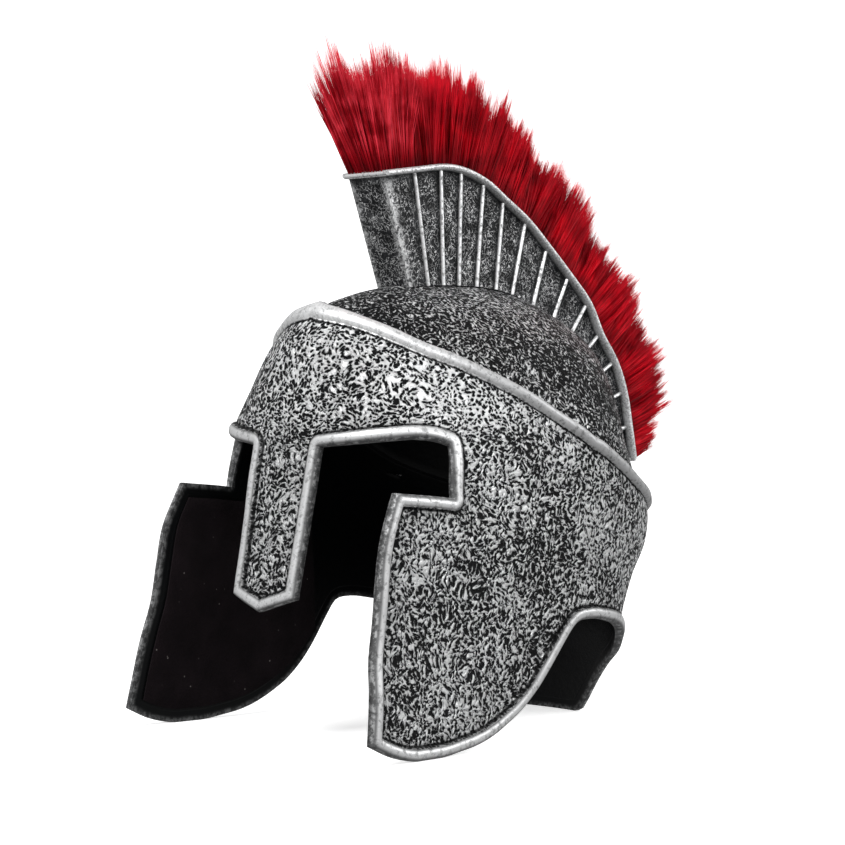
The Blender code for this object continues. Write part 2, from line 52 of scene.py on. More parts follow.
EYE_HEIGHT = 0.1530
CHEEK_TOP = 0.1290
CHEEK_AHEAD = 0.0325
CHEEK_HALF = 0.0875
NASAL_HALF = 0.0240
NASAL_TIP_HALF = 0.0214
NASAL_TIP = 0.0680
NASAL_POINT = 0.0075
NASAL_LEAN = 0.0155
NASAL_CROWN = 0.0008
BEAD_WIDTH = 0.0066
BEAD_RISE = 0.0026
BAND_WIDTH = 0.0074
BAND_RISE = 0.0032
BAND_BEVEL = 0.0022
GROOVE = 0.0005
DENT = 0.0004

SECTIONS = (
    # height, width, front, back, front squareness, back squareness
    (0.000, 0.890, 1.000, 0.800, 2.80, 2.30),
    (0.135, 0.912, 1.000, 0.790, 2.80, 2.30),
    (0.258, 0.935, 1.000, 0.781, 2.80, 2.30),
    (0.340, 0.952, 1.000, 0.876, 2.80, 2.30),
    (0.421, 0.978, 1.000, 1.000, 2.80, 2.30),
    (0.523, 1.000, 1.000, 0.990, 2.80, 2.25),
    (0.626, 0.984, 1.000, 0.892, 2.70, 2.20),
    (0.708, 0.925, 0.988, 0.850, 2.35, 2.20),
    (0.789, 0.823, 0.957, 0.829, 2.20, 2.20),
    (0.863, 0.690, 0.905, 0.790, 2.05, 2.10),
    (0.920, 0.520, 0.820, 0.667, 1.95, 2.00),
    (0.961, 0.345, 0.640, 0.495, 1.95, 2.00),
    (0.990, 0.161, 0.371, 0.267, 2.00, 2.00),
    (1.000, 0.000, 0.000, 0.000, 2.00, 2.00),
)
BOTTOM_LINE = (
    # station, height as a share of DOME_HEIGHT
    (0.00, 0.000), (0.13, 0.000), (0.25, 0.085), (0.50, 0.176), (0.70, 0.232), (0.85, 0.251),
    (1.00, 0.259), (1.07, 0.251), (1.15, 0.215), (1.30, 0.141), (1.45, 0.086), (1.60, 0.051),
    (1.80, 0.020), (2.00, 0.006), (2.20, 0.000), (2.50, 0.000), (2.75, 0.014), (3.00, 0.041),
)
CHEEK_LINE = (
    # station, height as a share of CHEEK_TOP
    (0.00, 0.542), (0.50, 0.697), (1.00, 0.931), (1.50, 0.978), (2.00, 1.000), (3.00, 1.022),
)
EYE_LINE = (
    # station, height as a share of EYE_HEIGHT
    (0.00, 0.588), (0.50, 0.719), (1.00, 0.916), (1.50, 0.980), (2.00, 1.010), (2.06, 1.021),
    (2.16, 1.028), (2.37, 1.022), (2.62, 1.010), (2.75, 1.004), (2.82, 1.000), (3.00, 1.000),
)
BAND_LINE = (
    # station, height as a share of DOME_HEIGHT
    (0.00, 0.458), (0.25, 0.475), (0.50, 0.511), (0.75, 0.564), (1.00, 0.644), (1.25, 0.693),
    (1.50, 0.742), (1.75, 0.787), (2.00, 0.827), (2.25, 0.859), (2.50, 0.883), (3.00, 0.906),
)
CHEEK_EDGE = (
    # share of CHEEK_TOP, share of FRONT_REACH + CHEEK_AHEAD, share of CHEEK_HALF
    (0.00, 1.000, 1.000), (0.27, 0.972, 0.958), (0.40, 0.958, 0.925), (0.52, 0.936, 0.905),
    (0.69, 0.918, 0.892), (0.87, 0.890, 0.884), (0.95, 0.862, 0.872), (1.03, 0.832, 0.863),
)
# Rows across a bead, in half bead widths from the free edge, and across the band, in half band widths
BEAD_ROWS = (0.0, 0.10, 0.30, 0.60, 1.00, 1.40, 1.70, 1.90, 2.05, 2.30)
BAND_ROWS = (-1.25, -1.10, -1.00, -0.90, -0.70, -0.35, 0.0, 0.35, 0.70, 0.90, 1.00)


def smooth_table(table, key, column):
    """Value of a column at a key, on a smooth curve through the rows of the table."""
    rows = np.array(table)
    knots = rows[:, 0]
    values = rows[:, column]
    slopes = np.gradient(values, knots)
    key = np.clip(np.asarray(key, float), knots[0], knots[-1])
    i = np.clip(np.searchsorted(knots, key, side="right") - 1, 0, len(knots) - 2)
    span = knots[i + 1] - knots[i]
    t = (key - knots[i]) / span
    h00 = 2 * t**3 - 3 * t**2 + 1
    h10 = t**3 - 2 * t**2 + t
    h01 = -2 * t**3 + 3 * t**2
    h11 = t**3 - t**2
    return h00 * values[i] + h10 * span * slopes[i] + h01 * values[i + 1] + h11 * span * slopes[i + 1]


# The sections are read by their angle up the dome, so that the crown closes round
SECTION_ANGLES = tuple((float(np.arcsin(row[0])),) + tuple(row[1:]) for row in SECTIONS)


def section(z):
    """Half width, reach in front, reach behind and the two squarenesses of the skull at a height."""
    angle = np.arcsin(np.clip(np.asarray(z, float) / DOME_HEIGHT, 0.0, 1.0))
    width = SKULL_HALF * np.maximum(smooth_table(SECTION_ANGLES, angle, 1), 0.0)
    front = FRONT_REACH * np.maximum(smooth_table(SECTION_ANGLES, angle, 2), 1e-5)
    back = BACK_REACH * np.maximum(smooth_table(SECTION_ANGLES, angle, 3), 1e-5)
    return width, front, back, smooth_table(SECTION_ANGLES, angle, 4), smooth_table(SECTION_ANGLES, angle, 5)


def smoothstep(t):
    t = np.clip(t, 0.0, 1.0)
    return t * t * (3.0 - 2.0 * t)


def bottom_height(station):
    return DOME_HEIGHT * np.maximum(smooth_table(BOTTOM_LINE, station, 1), 0.0)


def cheek_height(station):
    return CHEEK_TOP * smooth_table(CHEEK_LINE, station, 1)


def eye_height(station):
    return EYE_HEIGHT * smooth_table(EYE_LINE, station, 1)


def band_height(station):
    return DOME_HEIGHT * smooth_table(BAND_LINE, station, 1)


def eye_outer(z):
    return EYE_OUTER + EYE_SLANT * smoothstep((EYE_HEIGHT - z) / (EYE_HEIGHT - CHEEK_TOP))


def eye_edge(z):
    return AXIS_Y - section(z)[1] * eye_outer(z) / FRONT_REACH


def cheek_edge(z):
    share = np.asarray(z, float) / CHEEK_TOP
    reach = (FRONT_REACH + CHEEK_AHEAD) * smooth_table(CHEEK_EDGE, share, 1)
    half = CHEEK_HALF * smooth_table(CHEEK_EDGE, share, 2)
    return AXIS_Y - reach, half


def side_plate(y, z):
    """Half width of the flat cheek side, which turns inwards towards its front edge."""
    width = section(z)[0]
    edge_y, edge_half = cheek_edge(z)
    return width + (edge_half - width) * smoothstep((AXIS_Y - y) / (AXIS_Y - edge_y))


def skull_point(station, z):
    """Point of the left half. Station 0 is the middle of the back, 1 the side, 2 the outer edge of the eye
    and 3 the middle of the front."""
    station = np.asarray(station, float) + 0.0 * np.asarray(z, float)
    z = np.asarray(z, float) + 0.0 * station
    width, front, back, front_power, back_power = section(z)
    eye_share = EYE_OUTER / FRONT_REACH
    turn = (1.0 - np.clip(station, 0.0, 1.0)) * np.pi / 2
    back_x = width * np.cos(turn).clip(0, 1) ** (2 / back_power)
    back_y = AXIS_Y + back * np.sin(turn).clip(0, 1) ** (2 / back_power)
    share = eye_outer(z) / FRONT_REACH * np.clip(station - 1.0, 0.0, 1.0)
    side_y = AXIS_Y - front * share
    round_x = width * (1.0 - share**front_power) ** (1 / front_power)
    blend = smoothstep((EYE_HEIGHT - z) / (EYE_HEIGHT - CHEEK_TOP))
    side_x = round_x + (side_plate(side_y, z) - round_x) * blend
    start = np.arcsin(eye_share ** (front_power / 2))
    turn = start + (np.pi / 2 - start) * np.clip(station - 2.0, 0.0, 1.0)
    brow_x = width * np.cos(turn).clip(0, 1) ** (2 / front_power)
    brow_y = AXIS_Y - front * np.sin(turn) ** (2 / front_power)
    x = np.where(station < 1.0, back_x, np.where(station <= 2.0, side_x, brow_x))
    y = np.where(station < 1.0, back_y, np.where(station <= 2.0, side_y, brow_y))
    return np.stack([x, y, z], -1)


def cheek_point(y, z):
    return np.stack([side_plate(y, z), y, z], -1)


def nasal_station(x):
    width, _, _, power, _ = section(EYE_HEIGHT)
    start = np.arcsin((EYE_OUTER / FRONT_REACH) ** (power / 2))
    turn = np.arccos((np.asarray(x, float) / width) ** (power / 2))
    return 2.0 + (turn - start) / (np.pi / 2 - start)


def nasal_point(x, z):
    station = nasal_station(x)
    root_x, root_y, root_z = np.moveaxis(skull_point(station, eye_height(station)), -1, 0)
    down = np.clip((root_z - z) / (root_z - NASAL_TIP), 0.0, 1.0)
    taper = 1.0 + (NASAL_TIP_HALF / NASAL_HALF - 1.0) * down
    crown = (NASAL_CROWN * (x / NASAL_HALF) ** 2) * down
    return np.stack([root_x * taper, root_y - NASAL_LEAN * down + crown, z], -1)


def nasal_bottom(x):
    return NASAL_TIP + NASAL_POINT * np.abs(x) / NASAL_HALF


def outline_points(count):
    """The free edge of the left half, from the middle of the back to the nasal tip."""
    t = np.linspace(0.0, 1.0, count)
    parts = []
    parts.append(skull_point(2 * t, bottom_height(2 * t)))
    z = bottom_height(2 + t)
    parts.append(cheek_point(cheek_edge(z)[0] * t + eye_edge(z) * (1 - t), z))
    z = z[-1] + (cheek_height(3.0) - z[-1]) * t
    parts.append(cheek_point(cheek_edge(z)[0], z))
    z = cheek_height(3 - t)
    parts.append(cheek_point(cheek_edge(z)[0] * (1 - t) + eye_edge(z) * t, z))
    z = cheek_height(2.0) * (1 - t) + eye_height(2.0) * t
    parts.append(skull_point(2.0 + 0 * t, z))
    station = 2 + (nasal_station(NASAL_HALF) - 2) * t
    parts.append(skull_point(station, eye_height(station)))
    z = eye_height(station[-1]) * (1 - t) + nasal_bottom(NASAL_HALF) * t
    parts.append(nasal_point(NASAL_HALF + 0 * t, z))
    x = NASAL_HALF * (1 - t)
    parts.append(nasal_point(x, nasal_bottom(x)))
    return np.concatenate(parts)


def spread(start, end, count):
    return [start + (end - start) * k for k in np.linspace(0.0, 1.0, count + 1)]


def side_rows(station, low, mid):
    half = BEAD_WIDTH / 2
    bottom = bottom_height(station)
    cheek = cheek_height(station)
    eye = eye_height(station)
    rows = [bottom + half * k for k in BEAD_ROWS[:-1]]
    rows += spread(bottom + half * BEAD_ROWS[-1], cheek - half * BEAD_ROWS[-1], low)
    rows += [cheek - half * k for k in reversed(BEAD_ROWS[1:-1])]
    return rows + spread(cheek, eye, mid)


def guard_rows(low):
    return 2 * len(BEAD_ROWS) - 1 + low


def upper_rows(station, brow, dome):
    half = BEAD_WIDTH / 2
    eye = eye_height(station)
    band = band_height(station)
    rows = [eye + half * k for k in BEAD_ROWS[:-1]]
    rows += spread(eye + half * BEAD_ROWS[-1], band + BAND_WIDTH / 2 * BAND_ROWS[0], brow)
    rows += [band + BAND_WIDTH / 2 * k for k in BAND_ROWS[1:]]
    top = band + BAND_WIDTH / 2
    rows += [top + BAND_BEVEL * k for k in (0.2, 0.45, 0.7, 0.9)]
    start = np.arcsin((top + BAND_BEVEL) / DOME_HEIGHT)
    return rows + [DOME_HEIGHT * np.sin(angle) for angle in spread(start, np.pi / 2, dome)]


def grid_faces(grid):
    a = grid[:-1, :-1].ravel()
    b = grid[:-1, 1:].ravel()
    c = grid[1:, 1:].ravel()
    d = grid[1:, :-1].ravel()
    return [tuple(f) for f in np.stack([a, b, c, d], 1).tolist()]


def both_halves(patches):
    """Mirrors the patches, welds them and gives points, normals, faces and the free edges."""
    mesh = bmesh.new()
    for rows in patches:
        block = np.stack(rows)
        for sign in (1.0, -1.0):
            points = (block * np.array([sign, 1.0, 1.0])).reshape(-1, 3)
            verts = [mesh.verts.new(p) for p in points]
            grid = np.arange(len(points)).reshape(block.shape[:2])
            for face in grid_faces(grid):
                if sign > 0:
                    face = tuple(reversed(face))
                mesh.faces.new([verts[k] for k in face])
    bmesh.ops.remove_doubles(mesh, verts=mesh.verts, dist=1.5e-5)
    mesh.normal_update()
    mesh.verts.index_update()
    points = np.array([v.co[:] for v in mesh.verts])
    normals = np.array([v.normal[:] for v in mesh.verts])
    faces = [[v.index for v in f.verts] for f in mesh.faces]
    edges = []
    for edge in mesh.edges:
        if edge.is_boundary:
            loop = edge.link_loops[0]
            edges.append((loop.vert.index, loop.link_loop_next.vert.index))
    mesh.free()
    return points, normals, faces, edges


def shell_patches(back, side, brow, cheek, low, mid, front, dome, nasal):
    """Rows of points of the left half: side and nape, brow and dome, nasal, cheek guard."""
    half = BEAD_WIDTH / 2
    side_bead = 2.0 - half * np.array(BEAD_ROWS[::-1]) / EYE_OUTER
    stations = np.concatenate([
        np.linspace(0, 1, back + 1)[:-1],
        np.linspace(1, side_bead[0], side + 1)[:-1],
        side_bead,
    ])
    patches = [[skull_point(stations, z) for z in side_rows(stations, low, mid)]]
    nasal_x = NASAL_HALF - half * np.array(BEAD_ROWS)
    nasal_x = np.concatenate([nasal_x, np.linspace(nasal_x[-1], 0.0, nasal + 1)[1:]])
    nasal_columns = nasal_station(nasal_x)
    brow_columns = np.linspace(2.0, nasal_columns[0], brow + 1)[1:-1]
    columns = np.concatenate([stations, brow_columns, nasal_columns])
    rows = upper_rows(columns, front, dome)
    patches.append([skull_point(columns, z) for z in rows])
    bottom = nasal_bottom(nasal_x)
    top = rows[0][-len(nasal_x):]
    heights = [bottom + half * k for k in BEAD_ROWS[:-1]]
    heights += spread(bottom + half * BEAD_ROWS[-1], top, 26)
    patches.append([nasal_point(nasal_x, z) for z in heights])
    shares = np.linspace(0.0, 1.0, cheek + 1)[:-1]
    inset = half * np.array(BEAD_ROWS[::-1])
    heights = np.array(side_rows(np.array([2.0]), low, mid)).ravel()[:guard_rows(low)]
    guard = []
    for level in heights:
        share = (level - heights[0]) / (heights[-1] - heights[0])
        eye_y = eye_edge(level)
        z = level + np.zeros(len(shares) + len(inset))
        for _ in range(5):
            edge_y = cheek_edge(z)[0]
            near = eye_y + (edge_y[:len(shares)] + inset[0] - eye_y) * shares
            y = np.concatenate([near, edge_y[len(shares):] + inset])
            along = 2.0 + (y - eye_y) / (edge_y - eye_y)
            z = bottom_height(along) * (1 - share) + cheek_height(along) * share
        guard.append(cheek_point(y, z))
    patches.append(guard)
    return patches


def station_of(points):
    """Station of points on the skull, the way back from skull_point."""
    width, front, back, front_power, back_power = section(points[:, 2])
    reach = AXIS_Y - points[:, 1]
    turn = np.arcsin(np.clip((np.maximum(-reach, 0) / back) ** (back_power / 2), 0.0, 1.0))
    at_back = 1.0 - turn / (np.pi / 2)
    eye_share = EYE_OUTER / FRONT_REACH
    share = np.clip(reach / front, 0.0, 1.0)
    start = np.arcsin(eye_share ** (front_power / 2))
    turn = np.arcsin(share ** (front_power / 2))
    at_brow = 2.0 + (turn - start) / (np.pi / 2 - start)
    return np.where(reach < 0, at_back, np.where(share < eye_share, 1.0 + share / eye_share, at_brow))


def edge_distance(points, count):
    """Distance of each point from the free edge, which the rolled bead follows."""
    edge = outline_points(count)
    gap = np.full(len(points), 1.0)
    half = points.copy()
    half[:, 0] = np.abs(half[:, 0])
    for start, end in zip(edge[:-1], edge[1:]):
        along = end - start
        length = max(float(along @ along), 1e-12)
        t = np.clip(((half - start) @ along) / length, 0.0, 1.0)
        gap = np.minimum(gap, np.linalg.norm(half - start - t[:, None] * along, axis=1))
    return gap


def level_normals(points, normals):
    """Normals without their slope below the eyes, so that the cheek sides keep an even wall."""
    level = smoothstep((EYE_HEIGHT - points[:, 2]) / (EYE_HEIGHT - CHEEK_TOP))
    flat = normals * np.array([1.0, 1.0, 0.0])
    flat /= np.maximum(np.linalg.norm(flat, axis=1), 1e-9)[:, None]
    mixed = normals + (flat - normals) * level[:, None]
    return mixed / np.linalg.norm(mixed, axis=1)[:, None]


def soft_dents(points):
    """Slow unevenness of a soft casting, from -1 to 1."""
    x, y, z = points.T
    a = np.sin(x * 131 + z * 67 + 0.4) * np.sin(y * 103 - z * 89 + 1.1)
    b = np.sin(x * 59 - y * 211 + 2.0) * np.sin(z * 173 + y * 41)
    return 0.6 * a + 0.4 * b


def mark(mesh, name, values):
    """Writes a number for each vertex, which a material reads by its name."""
    layer = mesh.attributes.new(name, "FLOAT", "POINT")
    layer.data.foreach_set("value", np.asarray(values, np.float32))


def placed(name, data):
    """Object in the scene that shows a mesh."""
    obj = bpy.data.objects.new(name, data)
    bpy.context.scene.collection.objects.link(obj)
    return obj


def piece(name, points, faces, attributes, smooth_angle=60):
    mesh = bpy.data.meshes.new(name)
    mesh.from_pydata([tuple(p) for p in points], [], faces)
    mesh.update()
    for key, values in attributes.items():
        mark(mesh, key, values)
    mesh.shade_smooth()
    mesh.set_sharp_from_angle(angle=np.radians(smooth_angle))
    return placed(name, mesh)


patches = shell_patches(back=34, side=28, brow=30, cheek=18, low=34, mid=9, front=20, dome=34, nasal=8)
points, normals, faces, edges = both_halves(patches)
normals = level_normals(points, normals)
above = points[:, 2] - band_height(station_of(points))
reach = above / (BAND_WIDTH / 2)
step = MASK_STEP * (1.0 - smoothstep((above - BAND_WIDTH / 2) / BAND_BEVEL))
ridge = BAND_RISE * np.clip(1.0 - np.abs(reach) ** 3, 0.0, 1.0)
ridge -= GROOVE * np.exp(-((reach + 1.12) / 0.10) ** 2)
gap = edge_distance(points, 90)
radius = BEAD_WIDTH / 2
bead = BEAD_RISE * np.sqrt(np.clip(1.0 - ((gap - radius) / radius) ** 2, 0.0, 1.0))
bead -= GROOVE * np.exp(-((gap / radius - 2.12) / 0.14) ** 2)
dents = DENT * soft_dents(points)
outer = points + normals * (step + ridge + bead + dents)[:, None]
inner = points + normals * (step - WALL + 0.5 * dents)[:, None]
count = len(points)
solid = [tuple(f) for f in faces]
solid += [tuple(k + count for k in reversed(f)) for f in faces]
solid += [(b, a, a + count, b + count) for a, b in edges]
both = np.concatenate
shell = piece(
    "helmet_shell_cast",
    both([outer, inner]),
    solid,
    {
        "edge_gap": both([gap, gap]),
        "band_reach": both([np.clip(reach, -30, 30), np.full(count, 30.0)]),
        "outside": both([np.ones(count), np.zeros(count)]),
    },
)


def tree_socket(tree, name, kind, direction, value=None):
    socket = tree.interface.new_socket(name=name, in_out=direction, socket_type="NodeSocket" + kind)
    if value is not None:
        socket.default_value = value
    return socket


class Nodes:
    """Short hand for adding and joining nodes of one tree."""

    def __init__(self, tree):
        self.tree = tree

    def add(self, kind, inputs=None, **settings):
        node = self.tree.nodes.new(kind)
        for key, value in settings.items():
            setattr(node, key, value)
        for key, value in (inputs or {}).items():
            if isinstance(value, bpy.types.NodeSocket):
                self.tree.links.new(value, node.inputs[key])
            else:
                node.inputs[key].default_value = value
        return node

    def math(self, operation, a, b=0.0, clamp=False):
        return self.add("ShaderNodeMath", {0: a, 1: b}, operation=operation, use_clamp=clamp).outputs[0]

    def plus(self, a, b):
        return self.math("ADD", a, b)

    def minus(self, a, b):
        return self.math("SUBTRACT", a, b)

    def rest(self, a):
        return self.math("SUBTRACT", 1.0, a)

    def times(self, a, b, clamp=False):
        return self.math("MULTIPLY", a, b, clamp)

    def larger(self, a, b, clamp=False):
        return self.math("MAXIMUM", a, b, clamp)

    def fit(self, value, low, high, to_low=0.0, to_high=1.0):
        inputs = {"Value": value, "From Min": low, "From Max": high, "To Min": to_low, "To Max": to_high}
        return self.add("ShaderNodeMapRange", inputs, interpolation_type="SMOOTHSTEP").outputs[0]

    def mix(self, factor, a, b):
        node = self.add("ShaderNodeMix", {0: factor, 6: a, 7: b}, data_type="RGBA")
        return node.outputs[2]

    def between(self, factor, a, b):
        return self.add("ShaderNodeMix", {0: factor, 2: a, 3: b}, data_type="FLOAT").outputs[0]

    def noise(self, place, scale, detail, roughness=0.5, result="Fac"):
        inputs = {"Vector": place, "Scale": scale, "Detail": detail, "Roughness": roughness}
        return self.add("ShaderNodeTexNoise", inputs).outputs[result]

    def cells(self, place, scale, result="Distance"):
        return self.add("ShaderNodeTexVoronoi", {"Vector": place, "Scale": scale}).outputs[result]

    def part(self, vector, axis):
        return self.add("ShaderNodeSeparateXYZ", {0: vector}).outputs[axis]

    def vector(self, operation, a, b):
        return self.add("ShaderNodeVectorMath", {0: a, 1: b}, operation=operation).outputs[0]

    def scaled(self, vector, amount):
        return self.add("ShaderNodeVectorMath", {0: vector, "Scale": amount}, operation="SCALE").outputs[0]

    def bump(self, height, distance, strength):
        inputs = {"Height": height, "Distance": distance, "Strength": strength}
        return self.add("ShaderNodeBump", inputs).outputs[0]

    def attribute(self, name):
        return self.add("ShaderNodeAttribute", attribute_name=name).outputs["Fac"]

    def link(self, a, b):
        self.tree.links.new(a, b)


def noise_shift(n, place, scale, amount, detail):
    """Moves a place by a noise of colours, so that what is drawn with it is bent."""
    centred = n.vector("SUBTRACT", n.noise(place, scale, detail, result="Color"), (0.5, 0.5, 0.5))
    return n.vector("ADD", place, n.scaled(centred, amount))


def hammered_group():
    """Hammered relief: a raised net round small pits, and where a dry brush has left silver on it."""
    tree = bpy.data.node_groups.new("hammered relief", "ShaderNodeTree")
    tree_socket(tree, "Vector", "Vector", "INPUT")
    tree_socket(tree, "Pit Scale", "Float", "INPUT", 300.0)
    tree_socket(tree, "Silver", "Float", "INPUT", 0.5)
    tree_socket(tree, "Net", "Float", "INPUT", 0.5)
    for name in ("Silver Mask", "Core", "Height"):
        tree_socket(tree, name, "Float", "OUTPUT")
    n = Nodes(tree)
    given = n.add("NodeGroupInput").outputs
    result = n.add("NodeGroupOutput").inputs
    bent = noise_shift(n, noise_shift(n, given["Vector"], 90.0, 0.009, 1.0), 560.0, 0.0024, 2.0)
    net = n.fit(n.cells(bent, given["Pit Scale"]), 0.16, 0.78)
    lump = n.fit(n.noise(bent, n.times(given["Pit Scale"], 1.2), 3.0), 0.30, 0.70)
    fine = n.minus(n.noise(bent, 1700.0, 3.0), 0.5)
    height = n.plus(n.between(given["Net"], lump, net), n.times(fine, 0.45))
    threshold = n.rest(given["Silver"])
    mask = n.fit(height, n.minus(threshold, 0.05), n.plus(threshold, 0.06))
    n.link(mask, result["Silver Mask"])
    n.link(n.fit(height, threshold, n.plus(threshold, 0.26)), result["Core"])
    n.link(height, result["Height"])
    return tree


def new_material(name, roughness=0.5):
    mat = bpy.data.materials.new(name)
    mat.use_nodes = True
    shader = mat.node_tree.nodes["Principled BSDF"]
    shader.inputs["Roughness"].default_value = roughness
    return mat, Nodes(mat.node_tree), shader


HAMMERED = hammered_group()
SILVER = (0.80, 0.805, 0.81, 1.0)
BRIGHT_SILVER = (0.95, 0.955, 0.96, 1.0)
DULL_SILVER = (0.27, 0.275, 0.28, 1.0)
PIT_BLACK = (0.0035, 0.0038, 0.0042, 1.0)

silver_latex, n, shader = new_material("silver brushed latex")
place = n.add("ShaderNodeTexCoord").outputs["Object"]
axes = n.add("ShaderNodeSeparateXYZ", {0: place}).outputs
edge = n.attribute("edge_gap")
band = n.attribute("band_reach")
outside = n.attribute("outside")
slow = n.noise(place, 24.0, 2.0)
# where on the helmet: the dome above the band, the brow panel below it, the rest
on_dome = n.fit(band, 0.9, 1.3)
forward = n.fit(axes["Y"], -0.030, -0.095)
upper = n.fit(axes["Z"], 0.150, 0.178)
on_brow = n.times(n.times(forward, upper), n.rest(on_dome))
# painted highlight: more and brighter silver on the brow, most on its near side, where the key light falls
brow_highlight = n.times(on_brow, n.fit(axes["X"], -0.030, 0.020, 0.10, 1.0))
hammered = n.add("ShaderNodeGroup", {}, node_tree=HAMMERED)
n.link(place, hammered.inputs["Vector"])
finer = n.plus(n.times(on_dome, 90.0), n.times(on_brow, 25.0))
n.link(n.plus(455.0, finer), hammered.inputs["Pit Scale"])
cover = n.plus(n.fit(slow, 0.3, 0.7, 0.38, 0.54), n.times(brow_highlight, 0.09))
cover = n.minus(cover, n.times(on_dome, 0.14))
# painted shade: less silver on the far side of the brow, which turns away from the key light
far_brow_shade = n.times(on_brow, n.fit(axes["X"], 0.015, -0.025))
cover = n.minus(cover, n.times(far_brow_shade, 0.11))
n.link(cover, hammered.inputs["Silver"])
n.link(n.plus(0.48, n.times(on_brow, 0.30)), hammered.inputs["Net"])
# smooth raised parts: the bead along the free edges and the band
on_bead = n.fit(edge, 0.0064, 0.0056)
on_band = n.times(n.fit(band, -1.02, -0.90), n.fit(band, 1.60, 1.30))
bevel = n.times(n.fit(band, 0.60, 0.95), n.fit(band, 1.75, 1.40))
smooth_part = n.larger(on_bead, on_band)
streak = n.noise(place, 300.0, 5.0, 0.7)
smear_and_bead_shade = n.fit(streak, 0.34, 0.52, 0.38, 0.90)
# painted shade: the bead is darker on its outer flank and at its foot, and brightest along its crest; the
# streak mottling is real
outer_half = n.times(n.fit(edge, 0.0026, 0.0008), on_bead)
inner_foot = n.times(n.fit(edge, 0.0044, 0.0058), on_bead)
shaded = n.larger(n.times(outer_half, 0.80), n.times(inner_foot, 0.70))
smear_and_bead_shade = n.times(smear_and_bead_shade, n.rest(shaded))
smooth_silver = n.times(smear_and_bead_shade, n.rest(n.times(bevel, 0.80)))
# painted highlight and shade: the band's silver is brightest at its front and turns greyer towards the back
towards_front = n.fit(axes["Y"], -0.060, -0.120)
wear_and_band_light = n.larger(towards_front, n.rest(on_band))
smooth_silver = n.times(smooth_silver, n.fit(wear_and_band_light, 0.0, 1.0, 0.62, 1.0))
silver_mask = n.between(smooth_part, hammered.outputs["Silver Mask"], smooth_silver)
# hardly any silver in the grooves beside them and on the cut wall of the edge
groove_bead = n.times(n.fit(edge, 0.0058, 0.0067), n.fit(edge, 0.0084, 0.0073))
groove_band = n.times(n.fit(band, -1.36, -1.16), n.fit(band, -0.92, -1.03))
grooves = n.larger(groove_bead, groove_band)
silver_mask = n.times(silver_mask, n.rest(n.times(grooves, 0.92)))
side_wall = n.fit(edge, 0.0008, 0.0001)
wall_silver = n.fit(streak, 0.46, 0.64, 0.10, 0.50)
silver_mask = n.between(side_wall, silver_mask, wall_silver)
silver_mask = n.times(silver_mask, outside, clamp=True)
# inside, a little silver has run over the edge on to the bare glossy latex
inside = n.rest(outside)
run_over = n.times(n.fit(edge, 0.0036, 0.0003), n.fit(streak, 0.40, 0.66, 0.04, 0.26))
silver_mask = n.larger(silver_mask, n.times(run_over, inside))
# painted highlight: brightest silver at the front of the band and on the lit side of the brow
bright_band = n.times(on_band, n.fit(towards_front, 0.0, 1.0, 0.30, 1.0))
bright = n.larger(bright_band, brow_highlight)
thick = n.fit(hammered.outputs["Core"], 0.0, 1.0, 0.15, 1.0)
tint = n.mix(n.times(bright, thick), SILVER, BRIGHT_SILVER)
tint = n.mix(n.larger(thick, smooth_part), DULL_SILVER, tint)
n.link(n.mix(silver_mask, PIT_BLACK, tint), shader.inputs["Base Color"])
n.link(n.times(silver_mask, 0.70), shader.inputs["Metallic"])
gloss = n.fit(silver_mask, 0.0, 1.0, 0.50, 0.38)
n.link(n.between(outside, 0.33, gloss), shader.inputs["Roughness"])
shader.inputs["Specular IOR Level"].default_value = 0.10
relief_height = n.times(hammered.outputs["Height"], n.rest(smooth_part))
relief_height = n.times(relief_height, outside)
nicks = n.times(streak, n.fit(smooth_part, 0.0, 1.0, 0.20, 0.07))
relief_height = n.plus(relief_height, nicks)
n.link(n.bump(relief_height, 0.0024, 1.0), shader.inputs["Normal"])
shell.data.materials.append(silver_latex)
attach(shell, "root")
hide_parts("helmet_shell")

# Crest box
# A tall narrow holder that follows the crown from brow to nape, cast in dark latex and brushed with silver.
# Its flanks carry thin raised ribs that fan out from the dome, and a rolled lip runs round its mouth.
CREST_SEAT = 0.0007
CREST_BASE_HALF = 0.0120
CREST_LIP_HALF = 0.0160
LIP_DEPTH = 0.0035
LIP_RISE = 0.0015
RIB_RADIUS = 0.00115
WELD = 0.00002
CREST_LINE = (
    # foot reach, foot height, lip reach, lip height, as shares of DOME_HEIGHT
    (-0.230, 0.988, -0.325, 1.231),
    (-0.172, 0.990, -0.235, 1.247),
    (-0.119, 1.000, -0.139, 1.263),
    (-0.065, 1.000, -0.070, 1.262),
    (-0.004, 1.000, 0.008, 1.243),
    (0.065, 1.002, 0.078, 1.208),
    (0.123, 0.990, 0.160, 1.165),
    (0.205, 0.978, 0.240, 1.108),
    (0.286, 0.949, 0.323, 1.045),
    (0.364, 0.916, 0.397, 0.983),
    (0.417, 0.863, 0.448, 0.910),
    (0.483, 0.810, 0.507, 0.843),
    (0.519, 0.744, 0.546, 0.769),
    (0.544, 0.671, 0.570, 0.683),
    (0.556, 0.600, 0.590, 0.602),
)


